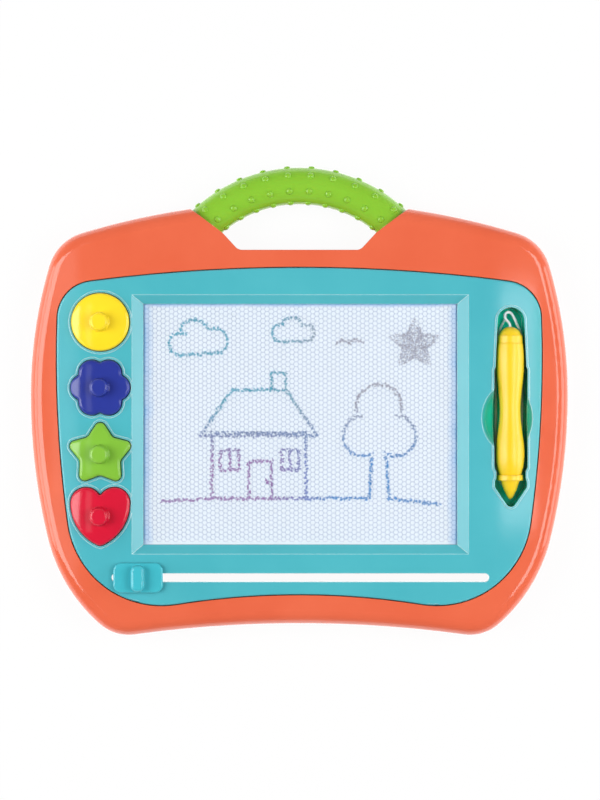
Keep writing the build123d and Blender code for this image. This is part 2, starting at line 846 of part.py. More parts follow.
# Eraser slide: a knob on the front, a carriage behind the screen and its magnet strip
with BuildPart() as eraser_knob:
    with BuildSketch(Plane((slider_x, slot_y, knob_base))):
        RectangleRounded(knob_length, knob_width, knob_corner_radius)
    extrude(amount=knob_thickness)
    fillet(eraser_knob.edges().group_by(Axis.Z)[-1], knob_edge_round)
    with BuildSketch(Plane((slider_x, slot_y, knob_base + knob_thickness / 2))):
        RectangleRounded(grip_ridge_length, grip_ridge_width, grip_ridge_corner)
    extrude(amount=grip_ridge_height + knob_thickness / 2)
    fillet(eraser_knob.edges().group_by(Axis.Z)[-1], grip_ridge_round)
    with BuildSketch(Plane((slider_x, slot_y, carriage_top))):
        Rectangle(stem_length, slot_width - 2 * stem_side_gap)
    extrude(amount=knob_base - carriage_top)
    with BuildSketch(Plane((slider_x, slot_y, carriage_top))):
        Circle(screw_radius + thread_gap)
    extrude(amount=screw_bite, mode=Mode.SUBTRACT)
eraser_knob.part.label = "eraser_knob"
export_step(eraser_knob.part, "parts/eraser_knob.step")

strip_length = screen_height + 2 * magnet_strip_overlap
with BuildPart() as eraser_carriage:
    with BuildSketch(Plane((slider_x, slot_y, carriage_bottom))):
        Rectangle(carriage_foot_length, carriage_foot_width)
    extrude(amount=carriage_height)
    with BuildSketch(Plane((slider_x, (bar_top_y + bar_low_y) / 2, carriage_bottom))):
        Rectangle(carriage_bar_width, bar_top_y - bar_low_y)
    extrude(amount=carriage_height)
    fillet(eraser_carriage.edges().filter_by(Axis.Z), fork_tine / 4)
    with BuildSketch(Plane((slider_x, guide_rib_y, carriage_bottom))):
        for side in (-1, 1):
            with Locations((0, side * (guide_wall / 2 + fork_gap + fork_tine / 2))):
                Rectangle(carriage_bar_width, fork_tine)
    extrude(amount=-fork_drop)
    with BuildSketch(Plane((slider_x, screen_y, carriage_top))):
        Rectangle(magnet_strip_width + 2 * magnet_strip_gap, strip_length + 2 * magnet_strip_gap)
    extrude(amount=-magnet_strip_thickness, mode=Mode.SUBTRACT)
    with BuildSketch(Plane((slider_x, slot_y, carriage_bottom))):
        Circle(screw_radius + screw_hole_gap)
    extrude(amount=carriage_height, mode=Mode.SUBTRACT)
    with BuildSketch(Plane((slider_x, slot_y, carriage_bottom))):
        Circle(recess_radius)
    extrude(amount=screw_head_height, mode=Mode.SUBTRACT)
eraser_carriage.part.label = "eraser_carriage"
export_step(eraser_carriage.part, "parts/eraser_carriage.step")

with BuildPart() as eraser_magnet:
    with BuildSketch(Plane((slider_x, screen_y, carriage_top - magnet_strip_thickness))):
        Rectangle(magnet_strip_width, strip_length)
    extrude(amount=magnet_strip_thickness)
eraser_magnet.part.label = "eraser_magnet"
export_step(eraser_magnet.part, "parts/eraser_magnet.step")

# Stamps: a domed cap with a finger knob, and a flat magnet let into its base
stamp_base = pocket_floor + stamp_seat_gap
stamp_top = case_height + stamp_rise
knob_taper = math.atan((stamp_knob_base_radius - stamp_knob_top_radius) / stamp_knob_height)
for stamp_name, shape, stamp_y in zip(stamp_names, stamp_shapes, stamp_ys):
    with BuildPart() as stamp_cap:
        with BuildSketch(Plane.XY.offset(stamp_base)):
            with Locations((stamp_x, stamp_y)):
                add(shape)
        extrude(amount=stamp_top - stamp_base + overrun)
        with Locations((stamp_x, stamp_y, stamp_top - stamp_dome_radius)):
            Sphere(stamp_dome_radius, mode=Mode.INTERSECT)
        fillet(stamp_cap.faces().sort_by(Axis.Z)[-1].edges(), stamp_edge_round)
        with BuildSketch(Plane((stamp_x, stamp_y, stamp_top - stamp_knob_foot_round))):
            Circle(stamp_knob_base_radius)
        extrude(amount=stamp_knob_height + stamp_knob_foot_round, taper=math.degrees(knob_taper))
        fillet(stamp_cap.edges().group_by(Axis.Z)[-1], stamp_knob_round)
        with BuildSketch(Plane.XY.offset(stamp_base)):
            with Locations((stamp_x, stamp_y)):
                add(shape)
            offset(amount=-stamp_magnet_inset)
        extrude(amount=stamp_magnet_thickness, mode=Mode.SUBTRACT)
    stamp_cap.part.label = "stamp_" + stamp_name
    export_step(stamp_cap.part, "parts/stamp_" + stamp_name + ".step")
    with BuildPart() as stamp_magnet:
        with BuildSketch(Plane.XY.offset(stamp_base)):
            with Locations((stamp_x, stamp_y)):
                add(shape)
            offset(amount=-stamp_magnet_inset - stamp_magnet_gap)
        extrude(amount=stamp_magnet_thickness)
    stamp_magnet.part.label = "stamp_" + stamp_name + "_magnet"
    export_step(stamp_magnet.part, "parts/stamp_" + stamp_name + "_magnet.step")

# Pen: a waisted barrel between a domed end cap and a collared nose, turned about its own axis
pen_plane = Plane(origin=(pen_x, pen_y, pen_z), x_dir=(0, 1, 0), z_dir=(0, 0, 1))
pen_axis = Axis((pen_x, pen_y, pen_z), (0, 1, 0))


def pen_point(shares):
    """Return a point of the pen's profile from its shares of the length and the radius."""
    return (shares[0] * pen_length, shares[1] * pen_radius)


barrel_points = [pen_point(shares) for shares in pen_barrel_shares]
barrel_top = barrel_points[0]
barrel_foot = barrel_points[-1]
with BuildPart() as pen_barrel:
    with BuildSketch(pen_plane):
        with BuildLine():
            Spline(*barrel_points)
            bore_ends = [(end[0], pen_bore_radius) for end in (barrel_foot, barrel_top)]
            Polyline(barrel_foot, *bore_ends, barrel_top)
        make_face()
    revolve(axis=pen_axis)
pen_barrel.part.label = "pen_barrel"
export_step(pen_barrel.part, "parts/pen_barrel.step")

plug_radius = pen_bore_radius - pen_plug_fit
cap_points = [pen_point(shares) for shares in pen_cap_shares]
with BuildPart() as pen_end_cap:
    with BuildSketch(pen_plane):
        with BuildLine():
            Polyline(
                (pen_length / 2, 0),
                (barrel_top[0] - pen_plug_length, 0),
                (barrel_top[0] - pen_plug_length, plug_radius),
                (barrel_top[0], plug_radius),
                *cap_points,
            )
            TangentArc((pen_length / 2, 0), cap_points[-1], tangent=(0, 1))
        make_face()
    revolve(axis=pen_axis)
pen_end_cap.part.label = "pen_end_cap"
export_step(pen_end_cap.part, "parts/pen_end_cap.step")

cone_points = [pen_point(shares) for shares in pen_cone_shares]
collar_radius = pen_collar_share * pen_radius
magnet_foot = pen_magnet_cover - pen_length / 2
magnet_head = magnet_foot + pen_magnet_length
with BuildPart() as pen_nose:
    with BuildSketch(pen_plane):
        with BuildLine():
            Polyline(
                (magnet_foot, 0),
                (magnet_foot, pen_magnet_radius + pen_plug_fit),
                (barrel_foot[0] + pen_plug_length, pen_magnet_radius + pen_plug_fit),
                (barrel_foot[0] + pen_plug_length, plug_radius),
                (barrel_foot[0], plug_radius),
                (barrel_foot[0], collar_radius),
                (cone_points[0][0], collar_radius),
                *cone_points,
                (-pen_length / 2, 0),
                close=True,
            )
        make_face()
    revolve(axis=pen_axis)
pen_nose.part.label = "pen_nose"
export_step(pen_nose.part, "parts/pen_nose.step")

with BuildPart() as pen_magnet:
    with BuildSketch(pen_plane):
        with Locations(((magnet_foot + magnet_head) / 2, pen_magnet_radius / 2)):
            Rectangle(pen_magnet_length, pen_magnet_radius)
    revolve(axis=pen_axis)
pen_magnet.part.label = "pen_magnet"
export_step(pen_magnet.part, "parts/pen_magnet.step")

# Tether: from the pen's end it curls over, dives beside the pen and lies doubled under it
cord_radius = cord_diameter / 2
cord_level = tray_floor + cord_floor_gap + cord_radius
cord_end_y = pen_y + pen_length / 2
cord_points = [
    (pen_x, cord_end_y, pen_z),
    (pen_x, cord_end_y + 2.6, pen_z),
    (pen_x - 4.0, cord_end_y + 5.6, pen_z + 0.9),
    (pen_x - 3.6, cord_end_y + 9.9, pen_z + 1.2),
    (pen_x + 0.4, cord_end_y + 10.4, pen_z + 0.6),
    (pen_x + 2.8, cord_end_y + 6.4, pen_z - 0.6),
    (pen_x + 5.4, cord_end_y + 1.2, pen_z - 2.4),
    (pen_x + 8.6, cord_end_y - 5.0, pen_z - 5.2),
    (pen_x + 8.9, cord_end_y - 14.5, cord_level + 0.5),
    (pen_x + 9.2, cord_end_y - 30.5, cord_level),
    (pen_x + 9.6, cord_end_y - 54.5, cord_level + 0.1),
    (pen_x + 9.0, cord_end_y - 80.5, cord_level),
    (pen_x + 8.6, cord_end_y - 100.5, cord_level),
    (pen_x + 5.0, cord_end_y - 112.5, cord_level + 0.1),
    (pen_x - 5.0, cord_end_y - 112.9, cord_level),
    (pen_x - 8.6, cord_end_y - 100.5, cord_level + 0.1),
    (pen_x - 9.3, cord_end_y - 78.5, cord_level),
    (pen_x - 9.0, cord_end_y - 50.5, cord_level + 0.1),
    (pen_x - 9.4, cord_end_y - 26.5, cord_level),
    (pen_x - 8.6, cord_end_y - 9.5, cord_level),
    (pen_x - 5.6, cord_end_y + 0.5, cord_level + 0.3),
    (pen_x - 2.4, cord_end_y + 5.8, cord_level + 0.9),
    (cord_hole_place[0], cord_hole_place[1], cord_level - 0.6),
    (cord_hole_place[0], cord_hole_place[1], tray_floor - tray_wall),
]
cord_radii = []
for before, here, after in zip(cord_points, cord_points[1:], cord_points[2:]):
    run_in = Vector(*here) - Vector(*before)
    run_out = Vector(*after) - Vector(*here)
    turn = math.radians(run_in.get_angle(run_out))
    cord_radii.append(0.45 * min(run_in.length, run_out.length) / math.tan(turn / 2))
print("tether radii", [round(radius, 1) for radius in cord_radii])
with BuildPart() as pen_tether:
    with BuildLine():
        cord_path = FilletPolyline(*cord_points, radius=cord_radii)
    with BuildSketch(Plane(origin=cord_path @ 0, z_dir=cord_path % 0)):
        Circle(cord_radius)
    sweep()
pen_tether.part.label = "pen_tether"
export_step(pen_tether.part, "parts/pen_tether.step")
cord_section = math.pi * cord_radius ** 2
print("tether length", cord_path.length)
print("tether volume", pen_tether.part.volume, "and section by length", cord_section * cord_path.length)

with BuildPart() as tether_knot:
    with BuildSketch(Plane((cord_hole_place[0], cord_hole_place[1], tray_floor - tray_wall))):
        Circle(knot_radius)
    extrude(amount=-knot_length)
    fillet(tether_knot.edges(), knot_length / 3)
tether_knot.part.label = "tether_knot"
export_step(tether_knot.part, "parts/tether_knot.step")

# Screws: one set closes the case, one holds the clamp frame, and one joins the eraser's two halves
head_level = screw_recess_depth - screw_head_height
with BuildPart() as case_screws:
    with BuildSketch(Plane.XY.offset(head_level)):
        with Locations(*boss_places):
            Circle(screw_head_radius)
    extrude(amount=screw_head_height)
    with BuildSketch(Plane.XY.offset(head_level)):
        with Locations(*boss_places):
            Circle(screw_radius)
    extrude(amount=split_height + screw_bite - screw_tip_gap - head_level)
case_screws.part.label = "case_screws"
export_step(case_screws.part, "parts/case_screws.step")

sink_depth = (clamp_screw_head_radius - clamp_screw_radius) / math.tan(math.radians(sink_angle / 2))
with BuildPart() as clamp_screws:
    for x, y in clamp_screw_places:
        with BuildSketch(Plane((screen_x + x, screen_y + y, clamp_bottom))):
            Circle(clamp_screw_head_radius)
        with BuildSketch(Plane((screen_x + x, screen_y + y, clamp_bottom + sink_depth))):
            Circle(clamp_screw_radius)
        loft(ruled=True)
    with BuildSketch(Plane((screen_x, screen_y, clamp_bottom))):
        with Locations(*clamp_screw_places):
            Circle(clamp_screw_radius)
    extrude(amount=film_top + clamp_screw_bite - screw_tip_gap - clamp_bottom)
clamp_screws.part.label = "clamp_screws"
export_step(clamp_screws.part, "parts/clamp_screws.step")

with BuildPart() as eraser_screw:
    with BuildSketch(Plane((slider_x, slot_y, carriage_bottom))):
        Circle(screw_head_radius)
    extrude(amount=screw_head_height)
    with BuildSketch(Plane((slider_x, slot_y, carriage_bottom))):
        Circle(screw_radius)
    extrude(amount=carriage_height + screw_bite - screw_tip_gap)
eraser_screw.part.label = "eraser_screw"
export_step(eraser_screw.part, "parts/eraser_screw.step")
print("eraser travel", slider_travel)
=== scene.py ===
# %% [markdown]
# # A kids' magnetic drawing board
# The board lies on its back, and the camera looks straight down on the drawing face.
# The construction comes packed as a fixed frame: every solid piece is already there at its real size.
# This lesson dresses that frame. It gives each plastic its finish, and it models what a plain solid can't show:
# the honeycomb of the screen, the powder drawing in it, the studded soft grip and the pen's tether.

# %% Load the frame
import math
import random

import bmesh
import bpy
from mathutils import Matrix, Vector


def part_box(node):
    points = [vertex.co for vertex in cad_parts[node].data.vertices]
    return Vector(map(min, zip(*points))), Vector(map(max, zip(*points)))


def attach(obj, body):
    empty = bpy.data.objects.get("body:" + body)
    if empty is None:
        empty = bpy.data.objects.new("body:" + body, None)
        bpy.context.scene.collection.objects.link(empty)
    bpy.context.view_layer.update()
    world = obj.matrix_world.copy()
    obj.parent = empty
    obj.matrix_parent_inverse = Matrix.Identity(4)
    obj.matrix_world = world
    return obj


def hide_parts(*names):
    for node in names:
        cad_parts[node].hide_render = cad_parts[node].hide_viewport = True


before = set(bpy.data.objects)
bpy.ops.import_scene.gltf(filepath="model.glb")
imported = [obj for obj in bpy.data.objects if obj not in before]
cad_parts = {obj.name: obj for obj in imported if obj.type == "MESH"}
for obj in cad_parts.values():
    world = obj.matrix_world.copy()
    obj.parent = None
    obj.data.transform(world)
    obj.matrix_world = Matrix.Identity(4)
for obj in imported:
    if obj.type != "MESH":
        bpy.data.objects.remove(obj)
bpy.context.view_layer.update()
MM = 0.001
print("nodes in the frame:", len(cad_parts))

# %% [markdown]
# ## The camera
# A catalogue photo of a flat toy is taken from straight above, from about a metre and a quarter.
# The lens is worked out from the real height that the picture has to span at the level of the drawing face.

# %% Camera
FACE_HEIGHT = 23 * MM
CAMERA_DISTANCE = 1250 * MM  # from the drawing face
PICTURE_HEIGHT = 560 * MM
VIEW_CENTRE = (0.5 * MM, 0.0)
SENSOR = 36.0

camera_data = bpy.data.cameras.new("camera")
camera_data.sensor_width = SENSOR
camera_data.lens = SENSOR * CAMERA_DISTANCE / PICTURE_HEIGHT
camera = bpy.data.objects.new("camera", camera_data)
camera.location = (VIEW_CENTRE[0], VIEW_CENTRE[1], FACE_HEIGHT + CAMERA_DISTANCE)
bpy.context.scene.collection.objects.link(camera)
bpy.context.scene.camera = camera
bpy.context.scene.view_settings.view_transform = "Standard"
print("lens", round(camera_data.lens, 1), "mm")

# %% [markdown]
# ## The tether
# A limp white cord joins the pen to its tray, so that a child can't lose the pen. It leaves the pen's end in a small
# loop, dives beside the barrel, lies doubled along the floor of the tray and goes down a hole to a knot.
# A cord is one smooth NURBS line with a round bevel. Its control points are the corners of the route in the solids:
# each row gives the way across and along from the pen's end, the level it starts from and the rise above that level.
# The bevel is one metre deep, and each point's own radius brings it down to the cord's. Blender counts that radius
# when it measures the curve, so the measured box stays tight.

# %% Route of the tether
pen_low, pen_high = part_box("pen_barrel")
PEN_X = (pen_low.x + pen_high.x) / 2
PEN_Z = 24.2 * MM
PEN_END_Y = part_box("pen_end_cap")[1].y
CORD_LEVEL = 15.1 * MM
CORD_DIAMETER = 1.8 * MM
TRAY_UNDERSIDE = 11.9 * MM
HOLE_OFFSET = (-2.0, 8.698)
ROUTE_MM = [
    (0.0, 0.0, "pen", 0.0),
    (0.0, 2.6, "pen", 0.0),
    (-4.0, 5.6, "pen", 0.9),
    (-3.6, 9.9, "pen", 1.2),
    (0.4, 10.4, "pen", 0.6),
    (2.8, 6.4, "pen", -0.6),
    (5.4, 1.2, "pen", -2.4),
    (8.6, -5.0, "pen", -5.2),
    (8.9, -14.5, "floor", 0.5),
    (9.2, -30.5, "floor", 0.0),
    (9.6, -54.5, "floor", 0.1),
    (9.0, -80.5, "floor", 0.0),
    (8.6, -100.5, "floor", 0.0),
    (5.0, -112.5, "floor", 0.1),
    (-5.0, -112.9, "floor", 0.0),
    (-8.6, -100.5, "floor", 0.1),
    (-9.3, -78.5, "floor", 0.0),
    (-9.0, -50.5, "floor", 0.1),
    (-9.4, -26.5, "floor", 0.0),
    (-8.6, -9.5, "floor", 0.0),
    (-5.6, 0.5, "floor", 0.3),
    (-2.4, 5.8, "floor", 0.9),
    (HOLE_OFFSET[0], HOLE_OFFSET[1], "floor", -0.6),
    (HOLE_OFFSET[0], HOLE_OFFSET[1], "floor", (TRAY_UNDERSIDE - CORD_LEVEL) / MM),
]
base_height = {"pen": PEN_Z, "floor": CORD_LEVEL}
route = [
    Vector((PEN_X + x * MM, PEN_END_Y + y * MM, base_height[level] + z * MM))
    for x, y, level, z in ROUTE_MM
]
print("tether corners", len(route))

# %% Tether


def cord_curve(name, points, diameter):
    """Return a round cord along one smooth line."""
    data = bpy.data.curves.new(name, "CURVE")
    data.dimensions = "3D"
    spline = data.splines.new("NURBS")
    spline.points.add(len(points) - 1)
    for target, point in zip(spline.points, points):
        target.co = (*point, 1)
        target.radius = diameter / 2
    spline.order_u = 3
    spline.use_endpoint_u = True
    spline.resolution_u = 10
    data.bevel_depth = 1.0
    data.bevel_resolution = 4
    data.use_fill_caps = True
    cord = bpy.data.objects.new(name, data)
    bpy.context.scene.collection.objects.link(cord)
    return cord


tether = cord_curve("tether_cord", route, CORD_DIAMETER)
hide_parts("pen_tether")
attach(tether, "case")

# %% [markdown]
# Under the tray the cord ends in a plain overhand knot, pulled tight so that it can't slip back through its hole.
# A trefoil curve has just that shape, so one closed formula draws it.

# %% Knot
KNOT_POINTS = 48
knot_low, knot_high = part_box("tether_knot")
knot_centre = (knot_low + knot_high) / 2
knot_reach = (knot_high.x - knot_low.x - CORD_DIAMETER) / 2
knot_rise = (knot_high.z - knot_low.z - CORD_DIAMETER) / 2


def trefoil(step):
    """Return a point of the knot, which fills the room of its plain solid."""
    turn = 2 * math.pi * step / KNOT_POINTS
    x = (math.sin(turn) + 2 * math.sin(2 * turn)) / 3
    y = (math.cos(turn) - 2 * math.cos(2 * turn)) / 3
    return knot_centre + Vector((x * knot_reach, y * knot_reach, -math.sin(3 * turn) * knot_rise))


knot = cord_curve("tether_end_knot", [trefoil(step) for step in range(KNOT_POINTS)], CORD_DIAMETER)
knot.data.splines[0].use_endpoint_u = False
knot.data.splines[0].use_cyclic_u = True
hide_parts("tether_knot")
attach(knot, "case")

# %% [markdown]
# ## Light and floor
# Toys like this are lit by two large soft boxes, one at each side, so that every rounded edge carries a long clean
# highlight. Between the boxes the ceiling is dark, which keeps the colours of the flat faces full.
# A low box under each of them lights the sloping sides, and a dimmer panel continues each towards the camera. Only
# the outer parts of the curved front mirror the panels. The right box is a narrow one, so that it draws a thin
# bright line along the rim. The fill beside it keeps the light even and shows in no reflection.

# %% Lights
BOX_REACH = 0.5
BOX_RADIANCE = 5.1
LOW_RADIANCE = 3.7
LEFT_PANEL_RADIANCE = 0.9
RIGHT_PANEL_RADIANCE = 3.8
PANEL_HEIGHT = 1.31


def soft_box(name, start, end, radiance, near=-BOX_REACH, far=BOX_REACH):
    """Add a soft box that spans two points of the XZ plane, goes from near to far in Y and faces the board."""
    tilt = math.atan2(start[1] - end[1], end[0] - start[0])
    light = bpy.data.lights.new(name, "AREA")
    light.shape = "RECTANGLE"
    light.size = math.hypot(end[0] - start[0], end[1] - start[1])
    light.size_y = far - near
    light.energy = radiance * math.pi * light.size * light.size_y
    lamp = bpy.data.objects.new(name, light)
    lamp.location = ((start[0] + end[0]) / 2, (far + near) / 2, (start[1] + end[1]) / 2)
    lamp.rotation_euler = (0, tilt, 0)
    bpy.context.scene.collection.objects.link(lamp)
    return lamp


soft_box("left_soft_box", (-1.26, 0.78), (-0.72, 1.28), BOX_RADIANCE)
soft_box("right_soft_box", (0.64, 1.29), (0.92, 1.10), BOX_RADIANCE)
right_fill = soft_box("right_fill", (0.92, 1.10), (1.20, 0.84), BOX_RADIANCE)
right_fill.visible_glossy = False
soft_box("left_low_box", (-1.46, 0.16), (-1.30, 0.72), LOW_RADIANCE)
soft_box("right_low_box", (1.30, 0.72), (1.46, 0.16), LOW_RADIANCE)
soft_box("left_panel", (-0.58, PANEL_HEIGHT), (-0.46, PANEL_HEIGHT), LEFT_PANEL_RADIANCE)
soft_box("right_panel", (0.36, PANEL_HEIGHT), (0.53, PANEL_HEIGHT), RIGHT_PANEL_RADIANCE, near=-0.18, far=0.165)

# %% [markdown]
# Colours are written as the sRGB hex values that a picture editor shows, and one function turns them linear.
# One more small function adds a shader node with its settings and its links, so that a material reads as a list.

# %% Helpers for materials


def linear(hex_colour):
    """Return an sRGB hex colour as linear red, green, blue and full alpha."""
    channels = [int(hex_colour[i:i + 2], 16) / 255 for i in (1, 3, 5)]
    return tuple(c / 12.92 if c <= 0.04045 else ((c + 0.055) / 1.055) ** 2.4 for c in channels) + (1,)


def add_node(tree, kind, settings=None, links=None):
    """Add a shader node. A setting names an input or a property, and a link names an input and its source."""
    node = tree.nodes.new(kind)
    for name, value in (settings or {}).items():
        if isinstance(name, int) or name in node.inputs:
            node.inputs[name].default_value = value
        else:
            setattr(node, name, value)
    for name, source in (links or {}).items():
        tree.links.new(source, node.inputs[name])
    return node


def new_material(name):
    """Return a material with an empty node tree and its output node."""
    material = bpy.data.materials.new(name)
    material.use_nodes = True
    material.node_tree.nodes.clear()
    return material, material.node_tree, add_node(material.node_tree, "ShaderNodeOutputMaterial")


def seen_by(tree, *rays):
    """Return a socket that is 1 for the named kinds of rays and 0 for the others."""
    path = add_node(tree, "ShaderNodeLightPath")
    found = path.outputs["Is Camera Ray"]
    for ray in rays:
        both = {0: found, 1: path.outputs[ray]}
        found = add_node(tree, "ShaderNodeMath", {"operation": "MAXIMUM"}, both).outputs[0]
    return found


# %% [markdown]
# The room is dim overhead and lighter towards its walls, which lifts the sides of the case. The camera sees pure
# white instead, and so does light that goes through clear plastic. The floor is white paper. To the camera and in
# reflections it mostly glows by itself, and only a small share is lit by the lamps, so that the shadow stays faint.

# %% World
AMBIENT = 0.14
HORIZON = 0.6
WALL_TOP = 0.5
WALL_FOOT = 0.1

world = bpy.data.worlds.new("studio")
bpy.context.scene.world = world
world.use_nodes = True
world.node_tree.nodes.clear()
towards = add_node(world.node_tree, "ShaderNodeTexCoord")
upward = add_node(world.node_tree, "ShaderNodeSeparateXYZ", None, {"Vector": towards.outputs["Generated"]})
walls = add_node(
    world.node_tree,
    "ShaderNodeMapRange",
    {"From Min": WALL_TOP, "From Max": WALL_FOOT, "To Min": AMBIENT, "To Max": HORIZON},
    {"Value": upward.outputs["Z"]},
)
strength = add_node(
    world.node_tree,
    "ShaderNodeMapRange",
    {"To Max": 1.0},
    {"Value": seen_by(world.node_tree, "Is Transmission Ray"), "To Min": walls.outputs[0]},
)
background = add_node(
    world.node_tree,
    "ShaderNodeBackground",
    {"Color": linear("#FFFFFF")},
    {"Strength": strength.outputs[0]},
)
add_node(world.node_tree, "ShaderNodeOutputWorld", None, {"Surface": background.outputs[0]})

# %% Floor
FLOOR_SIZE = 6.0
FLOOR_GAP = 0.2 * MM
SHADOW_SHARE = 0.06
MIRRORED_FLOOR = 2.0
PAPER_GRAIN_MM = 2.5
PAPER_TONE = (0.86, 0.9)

paper, tree, output = new_material("white_paper_sweep")
share = add_node(
    tree,
    "ShaderNodeMapRange",
    {"To Min": 0.0, "To Max": 1 - SHADOW_SHARE},
    {"Value": seen_by(tree, "Is Glossy Ray", "Is Transmission Ray")},
)
grain = add_node(tree, "ShaderNodeTexNoise", {"Scale": 1 / (PAPER_GRAIN_MM * MM), "Detail": 4.0})
tone = add_node(
    tree,
    "ShaderNodeMapRange",
    {"To Min": PAPER_TONE[0], "To Max": PAPER_TONE[1]},
    {"Value": grain.outputs["Fac"]},
)
matt = add_node(tree, "ShaderNodeBsdfDiffuse", None, {"Color": tone.outputs[0]})
path = add_node(tree, "ShaderNodeLightPath")
power = add_node(
    tree,
    "ShaderNodeMapRange",
    {"To Min": 1.0, "To Max": MIRRORED_FLOOR},
    {"Value": path.outputs["Is Glossy Ray"]},
)
glow = add_node(tree, "ShaderNodeEmission", {"Color": linear("#FFFFFF")}, {"Strength": power.outputs[0]})
mix = add_node(tree, "ShaderNodeMixShader", None, {0: share.outputs[0], 1: matt.outputs[0], 2: glow.outputs[0]})
tree.links.new(mix.outputs[0], output.inputs["Surface"])

bpy.ops.mesh.primitive_plane_add(size=FLOOR_SIZE, location=(0, 0, -FLOOR_GAP))
floor = bpy.context.object
floor.name = "floor"
floor.data.materials.append(paper)

# %% [markdown]
# ## Moulded plastics
# The case, panel, stamps and pen are injection-moulded ABS. The mould's polished steel gives it a glossy skin with a
# barely visible waviness, and the colour drifts a little where the melt flowed. The eye reads these three things as
# plastic: a crisp reflection, a slight orange-peel ripple, and a tone that is never quite flat.
# The teal plastic carries two painted light effects in its colour. A painted highlight makes its rounded edges and
# lips paler. The yellow pen's bounce light is painted onto the walls of its tray, so they turn green with depth, and
# a painted glow makes the tray's floor brighter against its shade. Both tints are worked out from the shape: how deep
# a point lies beside the pen, and how far the bevelled normal turns away from the face's own.

# %% Painted bounce light and painted edge highlight of the teal plastic
SCOOP_TOP = 28.5 * MM
SCOOP_FLOOR = 24.5 * MM
SCOOP_REACH = 22 * MM
TRAY_FLOOR = 18.0 * MM
# A painted glow: the brighter colour at the floor of the tray, set against its shade.
DEEP_PAINTED_GLOW = "#0CE4C8"
# Where the painted edge highlight begins and where it is full, as the dot of the bevelled and the true normal.
HIGHLIGHT_START = 0.99
HIGHLIGHT_FULL = 0.90


def painted_tray_bounce(tree, place, tint, painted_bounce_colour):
    """Return a tint with the pen's painted bounce light: green down in its tray, with a brighter painted glow at its
    floor.
    """
    apart = add_node(tree, "ShaderNodeSeparateXYZ", None, {"Vector": place})
    depth = add_node(
        tree,
        "ShaderNodeMapRange",
        {"From Min": SCOOP_TOP, "From Max": SCOOP_FLOOR},
        {"Value": apart.outputs["Z"]},
    )
    beside = add_node(
        tree,
        "ShaderNodeMath",
        {"operation": "COMPARE", 1: PEN_X, 2: SCOOP_REACH},
        {0: apart.outputs["X"]},
    )
    bounce_share = add_node(tree, "ShaderNodeMath", {"operation": "MULTIPLY"}, {0: depth.outputs[0], 1: beside.outputs[0]})
    bottom = add_node(
        tree,
        "ShaderNodeMapRange",
        {"From Min": SCOOP_FLOOR, "From Max": TRAY_FLOOR},
        {"Value": apart.outputs["Z"]},
    )
    bounce_and_glow = add_node(tree, "ShaderNodeValToRGB", None, {"Fac": bottom.outputs[0]})
    bounce_and_glow.color_ramp.elements[0].color = linear(painted_bounce_colour)
    bounce_and_glow.color_ramp.elements[1].color = linear(DEEP_PAINTED_GLOW)
    with_painted_bounce = add_node(
        tree,
        "ShaderNodeMix",
        {"data_type": "RGBA"},
        {0: bounce_share.outputs[0], 6: tint, 7: bounce_and_glow.outputs[0]},
    )
    return with_painted_bounce.outputs[2]


def painted_edge_highlight(tree, edge, tint, painted_highlight_colour):
    """Return a tint with a painted highlight, paler where the bevelled normal leaves the face's own."""
    face = add_node(tree, "ShaderNodeNewGeometry")
    turn = add_node(
        tree,
        "ShaderNodeVectorMath",
        {"operation": "DOT_PRODUCT"},
        {0: edge, 1: face.outputs["Normal"]},
    )
    highlight_share = add_node(
        tree,
        "ShaderNodeMapRange",
        {"From Min": HIGHLIGHT_START, "From Max": HIGHLIGHT_FULL},
        {"Value": turn.outputs["Value"]},
    )
    highlit = add_node(
        tree,
        "ShaderNodeMix",
        {"data_type": "RGBA", 7: linear(painted_highlight_colour)},
        {0: highlight_share.outputs[0], 6: tint},
    )
    return highlit.outputs[2]


# %% [markdown]
# No moulded edge is perfectly sharp. A bevel node rounds the light on every edge, so that lips and steps shine.
# One function makes every ABS. Its noise scales are the real sizes of the flow marks, the ripple and the fine grain.

# %% ABS
ABS_IOR = 1.53
FLOW_MM = 45.0
FLOW_SPAN = (0.3, 0.7)
RIPPLE_MM = 5.0
RIPPLE_DEPTH_MM = 0.012
GRAIN_MM = 0.5
GLOSS_DRIFT = 0.2
EDGE_MM = 0.8


